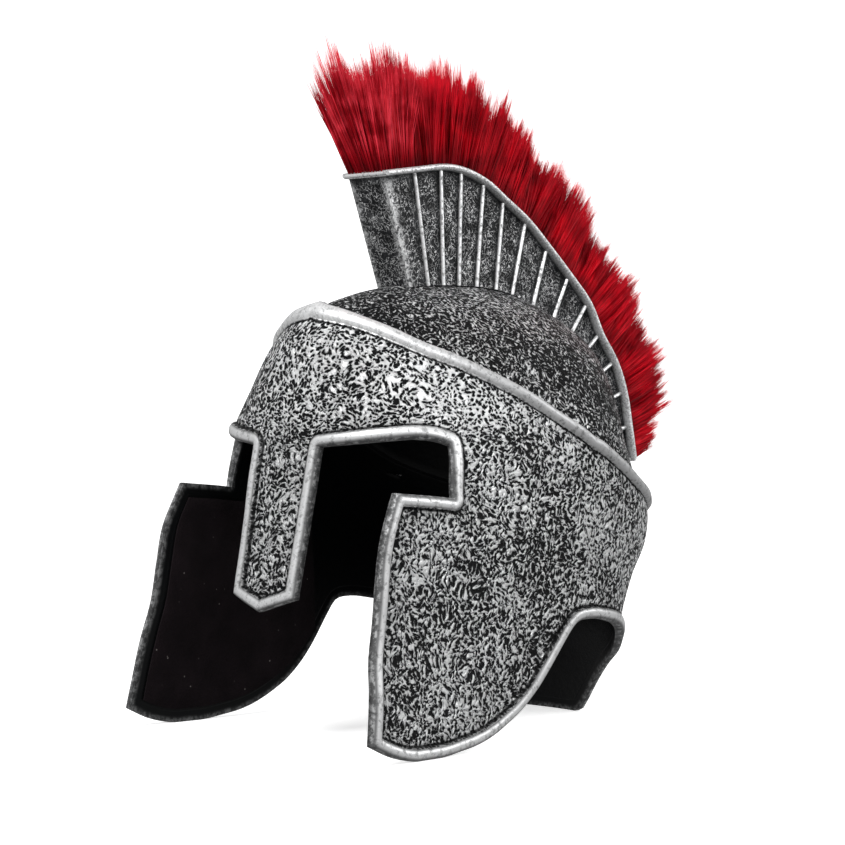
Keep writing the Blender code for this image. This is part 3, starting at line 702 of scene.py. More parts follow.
def dome_reach(x, feet, rise):
    """Points of the dome in the plane at x, in the directions of the foot points, lifted by rise."""
    centre = np.array([AXIS_Y, 0.60 * DOME_HEIGHT])
    aim = np.asarray(feet, float) - centre
    aim /= np.linalg.norm(aim, axis=1)[:, None]
    low = np.zeros(len(aim))
    high = np.full(len(aim), 2.0 * DOME_HEIGHT)
    for _ in range(50):
        mid = (low + high) / 2
        y, z = (centre + aim * mid[:, None]).T
        width, front, back, front_power, back_power = section(z)
        across = abs(x) / np.maximum(width, 1e-6)
        behind = across**back_power + (np.maximum(y - AXIS_Y, 0) / back) ** back_power
        before = across**front_power + (np.maximum(AXIS_Y - y, 0) / front) ** front_power
        value = np.where(y > AXIS_Y, behind, before)
        within = (value < 1.0) & (z < DOME_HEIGHT)
        low = np.where(within, mid, low)
        high = np.where(within, high, mid)
    return centre + aim * (low + rise)[:, None]


def crest_stations(steps):
    rows = np.array(CREST_LINE) * DOME_HEIGHT
    rows[:, 0] += AXIS_Y
    rows[:, 2] += AXIS_Y
    indexed = np.column_stack([np.arange(len(rows)), rows])
    return np.stack([smooth_table(indexed, steps, k) for k in (1, 2, 3, 4)], 1)


def flank_points(steps, shares, outward=0.0):
    """Points of the left flank at crest steps. Share 0 is its foot on the dome, 1 the underside of the lip."""
    stations = crest_stations(steps)
    foot = dome_reach(CREST_BASE_HALF, stations[:, :2], CREST_SEAT)
    lip = stations[:, 2:]
    length = np.linalg.norm(lip - foot, axis=1)
    up = (lip - foot) / length[:, None]
    under = np.maximum(length - LIP_DEPTH, 0.55 * length)
    result = []
    for share in shares:
        yz = foot + up * (under * share)[:, None]
        x = CREST_BASE_HALF + (CREST_LIP_HALF - 2 * LIP_RISE - CREST_BASE_HALF) * share + outward
        result.append(np.column_stack([x + np.zeros(len(yz)), yz]))
    return np.stack(result)


def mirrored_block(mesh, block):
    """Adds rows of points and then their mirror image to a mesh, and gives the vertices of each in turn."""
    for sign in (1.0, -1.0):
        corner = [[mesh.verts.new(p * np.array([sign, 1, 1])) for p in row] for row in block]
        for i in range(len(corner) - 1):
            for j in range(len(corner[i]) - 1):
                mesh.faces.new([corner[i][j], corner[i][j + 1], corner[i + 1][j + 1], corner[i + 1][j]])
        yield corner


def closed_piece(name, mesh):
    """Makes a welded mesh, with its faces turned outwards, an object in the scene."""
    bmesh.ops.recalc_face_normals(mesh, faces=mesh.faces)
    data = bpy.data.meshes.new(name)
    mesh.to_mesh(data)
    mesh.free()
    data.shade_smooth()
    return placed(name, data)


steps = np.linspace(0.0, len(CREST_LINE) - 1.0, 141)
stations = crest_stations(steps)
shares = np.linspace(0.0, 1.0, 15)
flank = flank_points(steps, shares)
sink = 0.0007 * np.sin(np.pi * (steps % 1.0)) ** 0.5
sink[steps < 1.0] = 0.0
flank[1:, :, 0] -= sink[None, :]
lip = stations[:, 2:]
foot = flank[0, :, 1:]
up = (lip - foot) / np.linalg.norm(lip - foot, axis=1)[:, None]
under = flank[-1, :, 1:]
depth = np.linalg.norm(lip - under, axis=1)
rows = []
for x in (0.0, 0.5 * CREST_BASE_HALF):
    rows.append(np.column_stack([np.full(len(steps), x), dome_reach(x, stations[:, :2], CREST_SEAT)]))
rows += list(flank)
roll = 0.5 * (depth * 0.9)
for angle in np.linspace(-80, 170, 11):
    a = np.radians(angle)
    x = CREST_LIP_HALF - 0.0002 + np.cos(a) * 0.0017
    yz = lip - up * roll[:, None] + up * (roll * np.sin(a))[:, None]
    rows.append(np.column_stack([np.full(len(steps), x), yz]))
for share in (0.9, 0.6, 0.3, 0.0):
    x = (CREST_LIP_HALF - 0.0022) * share
    rows.append(np.column_stack([np.full(len(steps), x), lip - up * (0.55 * depth)[:, None]]))
block = np.stack(rows)
mesh = bmesh.new()
for corner in mirrored_block(mesh, block):
    # front and back ends, filled across towards the middle plane
    for j in (0, len(steps) - 1):
        for i in range(1, len(corner) - 1):
            outer_low = corner[i][j].co
            outer_high = corner[i + 1][j].co
            last_low = corner[i][j]
            last_high = corner[i + 1][j]
            for share in (0.66, 0.33, 0.0):
                low = mesh.verts.new((outer_low.x * share, outer_low.y, outer_low.z))
                high = mesh.verts.new((outer_high.x * share, outer_high.y, outer_high.z))
                mesh.faces.new([last_low, last_high, high, low])
                last_low = low
                last_high = high
bmesh.ops.remove_doubles(mesh, verts=mesh.verts, dist=WELD)
bmesh.ops.dissolve_degenerate(mesh, edges=mesh.edges, dist=1e-6)
crest = closed_piece("crest_box_cast", mesh)
crest_mesh = crest.data
crest_mesh.set_sharp_from_angle(angle=np.radians(50))
finder = KDTree(block.shape[0] * block.shape[1])
for k, p in enumerate(block.reshape(-1, 3)):
    finder.insert(p, k)
finder.balance()
# the filled ends take their row from the edge of the flank beside them
end_finder = KDTree(2 * len(block))
for i in range(2, len(block)):
    for j in (0, len(steps) - 1):
        end_finder.insert((0.0, block[i, j, 1], block[i, j, 2]), i * len(steps) + j)
end_finder.balance()
matches = [finder.find((abs(v.co.x), v.co.y, v.co.z)) for v in crest_mesh.vertices]
beside = [end_finder.find((0.0, v.co.y, v.co.z)) for v in crest_mesh.vertices]
found = np.array([a[1] if a[2] < 0.0003 else b[1] for a, b in zip(matches, beside)])
row_of = found // len(steps)
step_of = steps[found % len(steps)]
on_lip = row_of >= 2 + len(shares)
mark(crest_mesh, "lip", on_lip)
# painted shadow: a dark line beside each rib on its back side, and a dark band just under the lip
from_rib = np.abs(step_of - np.round(step_of))
shadow = np.exp(-((from_rib - 0.12) / 0.08) ** 2) * (step_of > 0.7)
below_lip = (1 + len(shares) - row_of) / len(shares)
shadow = np.maximum(shadow, np.exp(-(below_lip / 0.06) ** 2)) * (~on_lip)
mark(crest_mesh, "rib_and_lip_shadow", 0.9 * shadow)
on_flank = np.array([match[2] < 0.0005 for match in matches]) & (row_of > 1) & (~on_lip)
corner = np.exp(-((step_of - 0.08) / 0.20) ** 2) * on_flank
mark(crest_mesh, "front_corner", corner)


def wiry_group():
    """Fine wiry marks that a nearly dry brush leaves on a rough ground."""
    tree = bpy.data.node_groups.new("wiry brush marks", "ShaderNodeTree")
    tree_socket(tree, "Vector", "Vector", "INPUT")
    tree_socket(tree, "Mark Scale", "Float", "INPUT", 420.0)
    tree_socket(tree, "Width", "Float", "INPUT", 0.05)
    tree_socket(tree, "Mask", "Float", "OUTPUT")
    tree_socket(tree, "Height", "Float", "OUTPUT")
    n = Nodes(tree)
    given = n.add("NodeGroupInput").outputs
    result = n.add("NodeGroupOutput").inputs
    coarse = n.noise(noise_shift(n, given["Vector"], 240.0, 0.004, 2.0), given["Mark Scale"], 3.0)
    from_middle = n.math("ABSOLUTE", n.minus(coarse, 0.5))
    n.link(n.fit(from_middle, given["Width"], 0.0), result["Mask"])
    n.link(n.minus(0.5, from_middle), result["Height"])
    return tree


WIRY = wiry_group()
crest_latex, n, shader = new_material("brushed crest latex")
place = n.add("ShaderNodeTexCoord").outputs["Object"]
marks = n.add("ShaderNodeGroup", {}, node_tree=WIRY)
n.link(place, marks.inputs["Vector"])
marks.inputs["Mark Scale"].default_value = 430.0
marks.inputs["Width"].default_value = 0.030
blotch = n.noise(place, 95.0, 3.0, 0.6)
grain = n.noise(place, 900.0, 2.0)
lip_mask = n.attribute("lip")
rib_and_lip_shadow = n.attribute("rib_and_lip_shadow")
corner = n.times(n.attribute("front_corner"), n.fit(blotch, 0.38, 0.58, 0.35, 0.70))
wash = n.times(marks.outputs["Mask"], n.fit(blotch, 0.34, 0.58, 0.20, 1.0))
wash = n.plus(wash, n.fit(blotch, 0.52, 0.76, 0.0, 0.08))
corner = n.times(corner, n.fit(marks.outputs["Height"], 0.36, 0.46, 0.15, 1.0))
wash = n.larger(wash, corner)
# painted shadow beside the ribs and under the lip keeps the silver off there
wash = n.times(wash, n.rest(rib_and_lip_shadow))
lip_silver = n.times(lip_mask, n.fit(grain, 0.36, 0.54, 0.50, 1.0))
silver = n.larger(wash, lip_silver, clamp=True)
DARK_LATEX = (0.005, 0.0055, 0.006, 1.0)
GREY_LATEX = (0.022, 0.023, 0.025, 1.0)
ground = n.mix(n.fit(blotch, 0.35, 0.65), DARK_LATEX, GREY_LATEX)
n.link(n.mix(silver, ground, SILVER), shader.inputs["Base Color"])
shader.inputs["Specular IOR Level"].default_value = 0.10
n.link(n.times(silver, 0.7), shader.inputs["Metallic"])
n.link(n.fit(silver, 0.0, 1.0, 0.50, 0.38), shader.inputs["Roughness"])
rough = n.plus(marks.outputs["Height"], n.times(grain, 0.4))
n.link(n.bump(rough, 0.0012, 0.7), shader.inputs["Normal"])
crest_mesh.materials.append(crest_latex)
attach(crest, "root")
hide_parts("crest_box")

# Crest ribs
# Fourteen thin raised ribs on each flank, part of the same casting, brushed bright silver.
# They fan out from the dome to the lip and are a little uneven in thickness, as is the lip across both ends.
rib_silver, n, shader = new_material("rib silver")
place = n.add("ShaderNodeTexCoord").outputs["Object"]
wear_and_band_light = n.noise(place, 420.0, 4.0, 0.6)
mask = n.fit(wear_and_band_light, 0.36, 0.50, 0.30, 0.95)
n.link(n.mix(mask, (0.03, 0.03, 0.032, 1.0), BRIGHT_SILVER), shader.inputs["Base Color"])
n.link(n.times(mask, 0.8), shader.inputs["Metallic"])
n.link(n.fit(mask, 0.0, 1.0, 0.5, 0.33), shader.inputs["Roughness"])
n.link(n.bump(wear_and_band_light, 0.0005, 0.4), shader.inputs["Normal"])


def finish_tree(n, geometry, material, result):
    """Smooths, makes real and paints what a geometry tree has made."""
    smooth = n.add("GeometryNodeSetShadeSmooth", {"Geometry": geometry})
    real = n.add("GeometryNodeRealizeInstances", {"Geometry": smooth.outputs[0]})
    painted = n.add("GeometryNodeSetMaterial", {"Geometry": real.outputs[0], "Material": material})
    n.link(painted.outputs[0], result)


def bead_tree(name, material):
    """Round bead along every edge of the given lines, uneven by a slow noise."""
    tree = bpy.data.node_groups.new(name, "GeometryNodeTree")
    tree_socket(tree, "Geometry", "Geometry", "INPUT")
    tree_socket(tree, "Radius", "Float", "INPUT", 0.001)
    tree_socket(tree, "Unevenness", "Float", "INPUT", 0.3)
    tree_socket(tree, "Geometry", "Geometry", "OUTPUT")
    n = Nodes(tree)
    given = n.add("NodeGroupInput").outputs
    result = n.add("NodeGroupOutput").inputs
    curve = n.add("GeometryNodeMeshToCurve", {"Mesh": given["Geometry"]})
    slow = n.noise(n.add("GeometryNodeInputPosition").outputs[0], 160.0, 2.0)
    swing = n.times(n.minus(slow, 0.5), given["Unevenness"])
    factor = n.plus(1.0, n.times(swing, 4.0))
    radius = n.times(given["Radius"], factor)
    profile = n.add("GeometryNodeCurvePrimitiveCircle", {"Resolution": 8, "Radius": 1.0})
    tube = n.add("GeometryNodeCurveToMesh", {
        "Curve": curve.outputs[0], "Profile Curve": profile.outputs[0], "Scale": radius, "Fill Caps": True,
    })
    finish_tree(n, tube.outputs[0], material, result["Geometry"])
    return tree


def grown(name, mesh, tree, values):
    """Runs a geometry tree on a mesh and gives its result as a plain mesh object."""
    seed = placed(name + "_path", mesh)
    modifier = seed.modifiers.new("grow", "NODES")
    modifier.node_group = tree
    for item in tree.interface.items_tree:
        if item.item_type == "SOCKET" and item.in_out == "INPUT" and item.name in values:
            modifier[item.identifier] = values[item.name]
    seed.update_tag()
    depsgraph = bpy.context.evaluated_depsgraph_get()
    result = bpy.data.meshes.new_from_object(seed.evaluated_get(depsgraph), depsgraph=depsgraph)
    seed.modifiers.clear()
    bpy.data.objects.remove(seed)
    result.name = name
    return placed(name, result)


rib_points = []
rib_edges = []
rib_steps = np.concatenate([[1.08], np.arange(2.0, len(CREST_LINE) - 0.5)])
rib_shares = np.linspace(0.0, 1.0, 13)
rib_rows = flank_points(rib_steps, rib_shares, outward=0.0003)
for k in range(len(rib_steps)):
    for sign in (1.0, -1.0):
        base = len(rib_points)
        for i in range(len(rib_shares)):
            x, y, z = rib_rows[i, k]
            rib_points.append((sign * x, y, z))
        rib_edges += [(base + i, base + i + 1) for i in range(len(rib_shares) - 1)]
# the rolled lip is carried across the front and back ends
for k in (0, -1):
    base = len(rib_points)
    y, z = lip[k] - up[k] * roll[k]
    rib_points += [(x, y, z) for x in np.linspace(-CREST_LIP_HALF, CREST_LIP_HALF, 17)]
    rib_edges += [(base + i, base + i + 1) for i in range(16)]
rib_mesh = bpy.data.meshes.new("rib_lines")
rib_mesh.from_pydata(rib_points, rib_edges, [])
rib_bead = bead_tree("rib bead", rib_silver)
ribs = grown("crest_ribs", rib_mesh, rib_bead, {"Radius": RIB_RADIUS, "Unevenness": 0.14})
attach(ribs, "root")

# Fur crest
# A brush of deep crimson synthetic fur, about 60 mm long, glued into the mouth of the crest box. The strands
# stand up in loose locks, lean forward over the brow, fan out along the crown and sweep back at the nape.
FUR_LENGTH = 0.0600
FUR_ROOT_HALF = 0.0128
FUR_LINE = (
    # share along the lip, length, lean in degrees
    (0.00, 1.06, -17.0), (0.10, 1.00, -8.0), (0.22, 0.90, -9.0), (0.34, 0.80, -10.0), (0.46, 0.76, -8.0),
    (0.58, 0.75, -6.0), (0.70, 0.74, -5.0), (0.82, 0.73, -4.0), (0.92, 0.70, -4.0), (1.00, 0.46, 0.0),
)
STRANDS = 19500
STRAND_WIDTH = 0.00046


def fur_path(count):
    """Roots, directions, lengths along the mouth of the crest box, all in the middle plane."""
    lips = crest_stations(np.linspace(0.0, len(CREST_LINE) - 1.0, 29))[:, 2:]
    run = np.concatenate([[0.0], np.cumsum(np.linalg.norm(np.diff(lips, axis=0), axis=1))])
    run /= run[-1]
    share = np.linspace(0.0, 1.0, count)
    path = np.stack([np.interp(share, run, lips[:, 0]), np.interp(share, run, lips[:, 1])], 1)
    along = np.gradient(path, axis=0)
    along /= np.linalg.norm(along, axis=1)[:, None]
    square = np.stack([-along[:, 1], along[:, 0]], 1)
    lean = np.radians(smooth_table(FUR_LINE, share, 2))
    aim = square * np.cos(lean)[:, None] + along * np.sin(lean)[:, None]
    return path, square, aim, FUR_LENGTH * smooth_table(FUR_LINE, share, 1)


crimson, n, shader = new_material("crimson fur", 0.55)
along_strand = n.attribute("along")
tone = n.attribute("tone")
place = n.add("ShaderNodeTexCoord").outputs["Object"]
# the strand tone is random; the clump and lock parts are painted shade between the locks and painted light on
# them
clump = n.fit(n.noise(place, 75.0, 2.0), 0.36, 0.64)
shade = n.plus(n.times(tone, 0.40), n.times(clump, 0.30))
shade = n.plus(shade, n.times(n.attribute("lock_shade_and_length"), 0.30))
# painted shade and light: dark at the roots, deep in the brush, and lighter and pinker at the thin tips, where
# light comes through
root_color = n.mix(shade, (0.050, 0.0002, 0.0012, 1.0), (0.30, 0.0010, 0.0070, 1.0))
mid_color = n.mix(shade, (0.085, 0.0002, 0.0020, 1.0), (0.88, 0.0040, 0.0190, 1.0))
tip_color = n.mix(shade, (0.13, 0.0004, 0.0030, 1.0), (0.90, 0.0080, 0.0280, 1.0))
lower = n.mix(n.fit(along_strand, 0.0, 0.45), root_color, mid_color)
fur_color = n.mix(n.fit(along_strand, 0.55, 1.0), lower, tip_color)
# painted highlight: the front of the brush is lighter and pinker
from_front = n.fit(n.part(place, "Y"), -0.045, -0.085)
lighter = n.times(from_front, n.fit(along_strand, 0.15, 0.45))
lighter = n.times(lighter, n.fit(shade, 0.40, 0.75, 0.0, 0.70))
n.link(n.mix(lighter, fur_color, (0.97, 0.075, 0.115, 1.0)), shader.inputs["Base Color"])
shader.inputs["Specular IOR Level"].default_value = 0.12


def fur_tree(material):
    """Thin tapering strands on the root strip, gathered into locks by slow noise."""
    tree = bpy.data.node_groups.new("fur strands", "GeometryNodeTree")
    tree_socket(tree, "Geometry", "Geometry", "INPUT")
    for name in ("Density", "Strand Width", "Lock Scale", "Gather", "Lock Sway", "Stray Sway", "Rise"):
        tree_socket(tree, name, "Float", "INPUT", 0.0)
    tree_socket(tree, "Seed", "Int", "INPUT", 3)
    tree_socket(tree, "Geometry", "Geometry", "OUTPUT")
    n = Nodes(tree)
    given = n.add("NodeGroupInput").outputs
    result = n.add("NodeGroupOutput").inputs
    scatter = n.add("GeometryNodeDistributePointsOnFaces", {
        "Mesh": given["Geometry"], "Density": given["Density"], "Seed": given["Seed"],
    })

    def named(name, kind):
        return n.add("GeometryNodeInputNamedAttribute", {"Name": name}, data_type=kind).outputs[0]

    def stored(geometry, name, value, kind="FLOAT"):
        inputs = {"Geometry": geometry, "Name": name, "Value": value}
        return n.add("GeometryNodeStoreNamedAttribute", inputs, data_type=kind, domain="POINT").outputs[0]

    def chance(seed, high=1.0):
        inputs = {2: 0.0, 3: high, "Seed": seed}
        return n.add("FunctionNodeRandomValue", inputs, data_type="FLOAT").outputs[1]

    # most strands end near the top of the brush, some lower down, and a few wisps stand out above it
    where = n.add("GeometryNodeInputPosition").outputs[0]
    # a random number for each lock, which sets its length and its painted shade
    lock_shade_and_length = n.part(n.cells(where, given["Lock Scale"], "Color"), "X")
    length = n.times(named("length", "FLOAT"), n.fit(lock_shade_and_length, 0.0, 1.0, 0.84, 1.06))
    length = n.times(length, n.fit(n.noise(where, 60.0, 1.0), 0.32, 0.68, 0.86, 1.08))
    own = n.minus(1.00, n.times(n.math("POWER", chance(11), 1.5), 0.34))
    own = n.plus(own, n.times(n.math("POWER", chance(23), 9.0), 0.20))
    points = stored(scatter.outputs["Points"], "root", where, "FLOAT_VECTOR")
    points = stored(points, "tone", chance(5))
    points = stored(points, "lock_shade_and_length", lock_shade_and_length)
    points = stored(points, "reach", n.times(length, own))
    # one strand: a narrow ribbon of unit height, tapered to its tip
    strip = n.add("GeometryNodeMeshGrid", {"Size X": 1.0, "Size Y": 1.0, "Vertices X": 2, "Vertices Y": 5})
    flat = n.add("GeometryNodeInputPosition").outputs[0]
    up = n.plus(n.part(flat, "Y"), 0.5)
    taper = n.larger(n.rest(n.math("POWER", up, 3.2)), 0.05)
    wide = n.times(n.times(n.part(flat, "X"), taper), given["Strand Width"])
    stand = n.add("ShaderNodeCombineXYZ", {"X": wide, "Y": 0.0, "Z": up}).outputs[0]
    ribbon = n.add("GeometryNodeSetPosition", {"Geometry": strip.outputs["Mesh"], "Position": stand})
    lifted = n.add("GeometryNodeInputPosition").outputs[0]
    ribbon = stored(ribbon.outputs[0], "along", n.part(lifted, "Z"))
    aligned = n.add("FunctionNodeAlignRotationToVector", {"Vector": named("aim", "FLOAT_VECTOR")}, axis="Z")
    turned = n.add("FunctionNodeRotateRotation", {"Rotation": aligned.outputs[0]}, rotation_space="LOCAL")
    about = n.add("FunctionNodeAxisAngleToRotation", {"Axis": (0.0, 0.0, 1.0), "Angle": chance(2, 6.2832)})
    n.link(about.outputs[0], turned.inputs["Rotate By"])
    size = n.add("ShaderNodeCombineXYZ", {"X": 1.0, "Y": 1.0, "Z": named("reach", "FLOAT")})
    planted = n.add("GeometryNodeInstanceOnPoints", {
        "Points": points, "Instance": ribbon, "Rotation": turned.outputs[0], "Scale": size.outputs[0],
    })
    real = n.add("GeometryNodeRealizeInstances", {"Geometry": planted.outputs[0]})
    # neighbours gather and sway towards the same side, more towards the tips
    root = named("root", "FLOAT_VECTOR")
    share = named("along", "FLOAT")

    def sway(scale, detail, amount, power):
        centred = n.vector("SUBTRACT", n.noise(root, scale, detail, result="Color"), (0.5, 0.5, 0.5))
        amount = n.times(amount, 2.0)
        return n.scaled(centred, n.times(n.math("POWER", share, power), amount))

    towards = n.vector("SUBTRACT", n.cells(root, given["Lock Scale"], "Position"), root)
    gathered = n.scaled(towards, n.times(n.math("POWER", share, 1.3), given["Gather"]))
    rise = n.times(n.math("POWER", share, 2.0), given["Rise"])
    upright = n.add("ShaderNodeCombineXYZ", {"X": 0.0, "Y": 0.0, "Z": rise}).outputs[0]
    lock_sway = sway(110.0, 1.5, given["Lock Sway"], 1.5)
    swayed = n.vector("ADD", lock_sway, sway(900.0, 1.0, given["Stray Sway"], 1.8))
    offset = n.vector("ADD", swayed, n.vector("ADD", gathered, upright))
    moved = n.add("GeometryNodeSetPosition", {"Geometry": real.outputs[0], "Offset": offset})
    finish_tree(n, moved.outputs[0], material, result["Geometry"])
    return tree


def root_strip(name, first, last, lift):
    """Strip of the crest box's mouth that the strands grow from, with their aim and length."""
    path, square, aim, length = fur_path(161)
    picked = slice(int(first * 160), int(last * 160) + 1)
    path, square, aim, length = path[picked], square[picked], aim[picked], length[picked]
    across = np.linspace(-1.0, 1.0, 9)
    points = []
    aims = []
    lengths = []
    for k in range(len(path)):
        for x in across:
            root = path[k] + square[k] * lift
            points.append((x * FUR_ROOT_HALF, root[0], root[1]))
            splay = 0.16 * x
            aims.append((splay, aim[k][0], aim[k][1]))
            lengths.append(length[k] * (1.0 - 0.16 * abs(x) ** 2))
    grid = np.arange(len(points)).reshape(len(path), len(across))
    mesh = bpy.data.meshes.new(name)
    mesh.from_pydata(points, [], grid_faces(grid))
    mesh.attributes.new("aim", "FLOAT_VECTOR", "POINT").data.foreach_set("vector", np.array(aims).ravel())
    mark(mesh, "length", lengths)
    return mesh


strands = fur_tree(crimson)
quarters = ((0.0, 0.25), (0.25, 0.5), (0.5, 0.75), (0.75, 1.0))
for k, (first, last) in enumerate(quarters):
    strip = root_strip("fur_roots", first, last, -0.0012)
    area = sum(p.area for p in strip.polygons)
    lock = grown("fur_lock_%d" % (k + 1), strip, strands, {
        "Density": STRANDS / area, "Strand Width": STRAND_WIDTH, "Lock Scale": 210.0, "Gather": 0.62,
        "Lock Sway": 0.009, "Stray Sway": 0.0055, "Rise": 0.004, "Seed": 3 + k,
    })
    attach(lock, "root")
    if k == 0:
        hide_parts("fur_crest")

# the dark body of the brush, a painted shade that stands in for the dark depth among the strands and closes
# the gaps between them
path, square, aim, length = (row[3:-2] for row in fur_path(90))
profile = ((0.0, 0.00), (0.85, 0.00), (0.85, 0.20), (0.65, 0.38), (0.30, 0.46), (0.0, 0.48))
rows = []
for width, rise in profile:
    yz = path - square * 0.0012 + aim * (length * rise)[:, None]
    rows.append(np.column_stack([np.full(len(path), width * (FUR_ROOT_HALF - 0.0015)), yz]))
mesh = bmesh.new()
for corner in mirrored_block(mesh, np.stack(rows)):
    for j in (0, len(path) - 1):
        mesh.faces.new([corner[i][j] for i in range(len(corner))])
bmesh.ops.remove_doubles(mesh, verts=mesh.verts, dist=WELD)
fur_body = closed_piece("fur_body", mesh)
deep_red, n, shader = new_material("fur ground", 0.9)
place = n.add("ShaderNodeTexCoord").outputs["Object"]
grain = n.noise(place, 500.0, 3.0)
n.link(n.mix(grain, (0.02, 0.0005, 0.001, 1.0), (0.09, 0.001, 0.004, 1.0)), shader.inputs["Base Color"])
n.link(n.bump(grain, 0.001, 0.6), shader.inputs["Normal"])
fur_body.data.materials.append(deep_red)
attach(fur_body, "root")

# Cheek linings
# Panels of black felt, about 1.5 mm thick, glued inside the two cheek guards. A margin of bare glossy black
# latex stays visible round them, and they carry a few specks of lint.
FELT = 0.0015
LINING_MARGIN = 0.0075
LINING_BACK = 0.0250
LINING_SEAT = 0.0005

felt, n, shader = new_material("black felt", 0.95)
place = n.add("ShaderNodeTexCoord").outputs["Object"]
nap = n.noise(place, 1400.0, 4.0, 0.7)
soil = n.noise(place, 60.0, 3.0)
speck = n.times(n.fit(n.cells(place, 190.0), 0.115, 0.070), 0.6)
lint = n.times(speck, n.fit(soil, 0.52, 0.60))
ground = n.mix(n.times(nap, soil), (0.0020, 0.0014, 0.0017, 1.0), (0.026, 0.017, 0.021, 1.0))
n.link(n.mix(lint, ground, (0.25, 0.23, 0.22, 1.0)), shader.inputs["Base Color"])
shader.inputs["Sheen Weight"].default_value = 0.02
shader.inputs["Specular IOR Level"].default_value = 0.06
n.link(n.bump(nap, 0.0006, 0.8), shader.inputs["Normal"])


def guard_station(y, z):
    """Station of a place on the cheek guard's side."""
    eye_y = eye_edge(z)
    edge_y = cheek_edge(z)[0]
    behind = 1.0 + (AXIS_Y - y) / (AXIS_Y - eye_y)
    return np.where(y > eye_y, behind, 2.0 + (y - eye_y) / (edge_y - eye_y))


def lining_grid(columns, rows):
    """Places of the lining on the cheek guard, a margin inside its edge."""
    back_y = AXIS_Y - LINING_BACK
    u = np.linspace(0.0, 1.0, columns + 1)
    grid = []
    for v in np.linspace(0.0, 1.0, rows + 1):
        z = CHEEK_TOP * (0.1 + 0.8 * v) + 0.0 * u
        for _ in range(6):
            y = back_y + (cheek_edge(z)[0] + LINING_MARGIN - back_y) * u
            station = guard_station(y, z)
            low = bottom_height(station) + LINING_MARGIN
            high = cheek_height(station) - LINING_MARGIN
            z = low + (high - low) * v
        grid.append(cheek_point(y, z))
    return np.stack(grid)


grid = lining_grid(columns=44, rows=36)
felt_points = grid.reshape(-1, 3)
index = np.arange(len(felt_points)).reshape(grid.shape[:2])
slope = (side_plate(felt_points[:, 1] + 0.0005, felt_points[:, 2])
         - side_plate(felt_points[:, 1] - 0.0005, felt_points[:, 2])) / 0.001
felt_normals = np.column_stack([np.ones(len(felt_points)), -slope, np.zeros(len(felt_points))])
felt_normals /= np.linalg.norm(felt_normals, axis=1)[:, None]
rim = np.zeros(grid.shape[:2])
rim[0, :] = rim[-1, :] = rim[:, 0] = rim[:, -1] = 1.0
back_face = felt_points + felt_normals * (MASK_STEP - WALL - LINING_SEAT)
puff = 0.00025 * soft_dents(felt_points * 1.7)
felt_depth = FELT * (1.0 - 0.45 * rim.ravel()) + puff
front_face = back_face - felt_normals * felt_depth[:, None]
quads = grid_faces(index)
sides = {(f[i], f[(i + 1) % 4]) for f in quads for i in range(4)}
loops = [e for e in sorted(sides) if (e[1], e[0]) not in sides]
count = len(felt_points)
felt_faces = quads + [tuple(k + count for k in reversed(f)) for f in quads]
felt_faces += [(b, a, a + count, b + count) for a, b in loops]
for side, label in ((1.0, "left"), (-1.0, "right")):
    mirrored = np.concatenate([back_face, front_face]) * np.array([side, 1.0, 1.0])
    panel = piece("felt_panel_" + label, mirrored, felt_faces, {}, 50)
    mesh = bmesh.new()
    mesh.from_mesh(panel.data)
    bmesh.ops.recalc_face_normals(mesh, faces=mesh.faces)
    mesh.to_mesh(panel.data)
    mesh.free()
    panel.data.materials.append(felt)
    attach(panel, "root")
    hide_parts("cheek_lining_" + label)

# Floor, light and camera
# A plain pale studio sweep under soft light, seen from the front left at the height of the cheek guards.
VIEW_AZIMUTH = np.radians(42.81)
VIEW_ROLL = np.radians(1.13)
VIEW_DISTANCE = 1.2174
VIEW_TARGET = (0.0, -0.0388, 0.167)
FOCAL_LENGTH = 93.72781

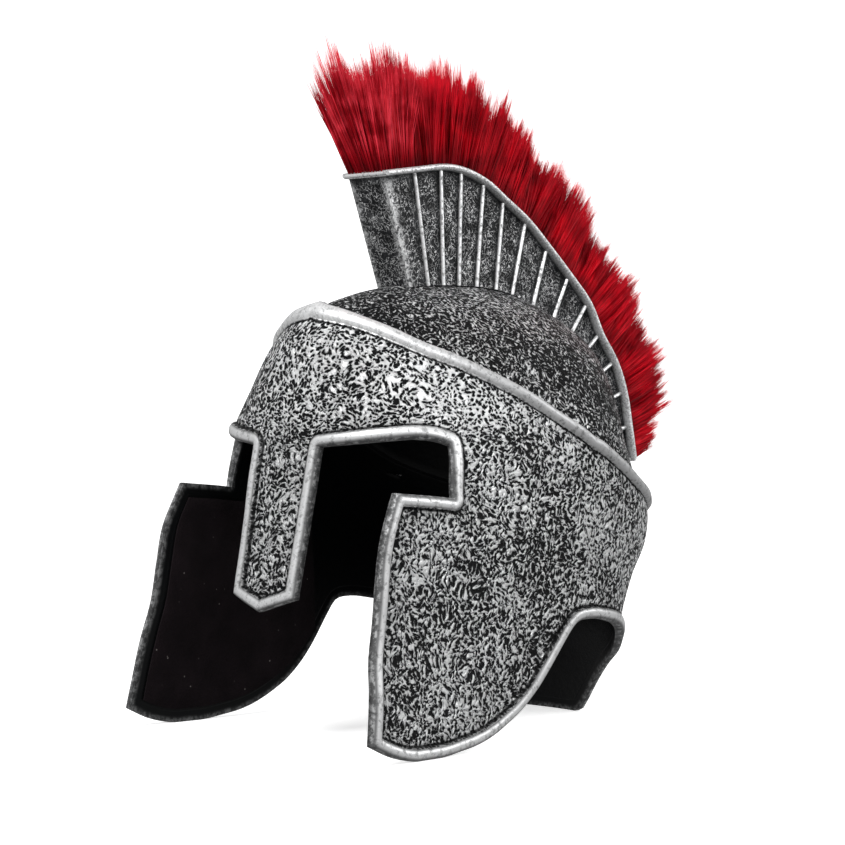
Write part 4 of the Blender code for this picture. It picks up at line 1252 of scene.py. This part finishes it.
sweep_points = []
profile = [(-3.0, 0.0), (1.2, 0.0)]
profile += [(1.2 + 0.8 * np.sin(a), 0.8 - 0.8 * np.cos(a)) for a in np.linspace(0.1, np.pi / 2, 14)]
profile += [(2.0, 4.0)]
back = np.array([np.sin(VIEW_AZIMUTH), -np.cos(VIEW_AZIMUTH), 0.0])
right = np.array([np.cos(VIEW_AZIMUTH), np.sin(VIEW_AZIMUTH), 0.0])
up = np.array([0.0, 0.0, 1.0])
for reach_out, rise in profile:
    for side in (-4.0, 4.0):
        sweep_points.append(right * side - back * reach_out + up * rise)
sweep_faces = [(2 * i, 2 * i + 1, 2 * i + 3, 2 * i + 2) for i in range(len(profile) - 1)]
sweep = piece("studio_sweep", sweep_points, sweep_faces, {})
backdrop, n, shader = new_material("pale backdrop", 0.9)
shader.inputs["Base Color"].default_value = (0.90, 0.90, 0.90, 1.0)
shader.inputs["Emission Color"].default_value = (1.0, 1.0, 1.0, 1.0)
shader.inputs["Emission Strength"].default_value = 0.66
sweep.data.materials.append(backdrop)
sweep.visible_glossy = False
sweep.visible_diffuse = False

world = bpy.data.worlds.new("studio")
world.use_nodes = True
world.node_tree.nodes["Background"].inputs["Color"].default_value = (1.0, 1.0, 1.0, 1.0)
world.node_tree.nodes["Background"].inputs["Strength"].default_value = 0.40
bpy.context.scene.world = world
bpy.context.scene.view_settings.view_transform = "Standard"


def soft_light(name, position, target, size, power):
    data = bpy.data.lights.new(name, "AREA")
    data.shape = "RECTANGLE"
    data.size = size[0]
    data.size_y = size[1]
    data.energy = power
    light = bpy.data.objects.new(name, data)
    light.location = position
    light.rotation_euler = (Vector(target) - Vector(position)).to_track_quat("-Z", "Y").to_euler()
    bpy.context.scene.collection.objects.link(light)
    return light


soft_light("key", (0.20, -1.25, 1.45), (0.0, -0.06, 0.20), (0.7, 0.7), 33.0)
soft_light("fill", (1.7, -0.5, 0.9), (0.0, 0.0, 0.15), (1.4, 1.4), 12.0)
soft_light("rim", (1.1, 1.2, 0.9), (0.0, 0.05, 0.18), (0.9, 0.9), 12.0)

camera_data = bpy.data.cameras.new("camera")
camera_data.sensor_width = 36.0
camera_data.lens = FOCAL_LENGTH
camera = bpy.data.objects.new("camera", camera_data)
matrix = np.eye(4)
matrix[:3, 0] = right * np.cos(VIEW_ROLL) + up * np.sin(VIEW_ROLL)
matrix[:3, 1] = up * np.cos(VIEW_ROLL) - right * np.sin(VIEW_ROLL)
matrix[:3, 2] = back
matrix[:3, 3] = back * VIEW_DISTANCE + np.array(VIEW_TARGET)
camera.matrix_world = Matrix(matrix.tolist())
bpy.context.scene.collection.objects.link(camera)
bpy.context.scene.camera = camera
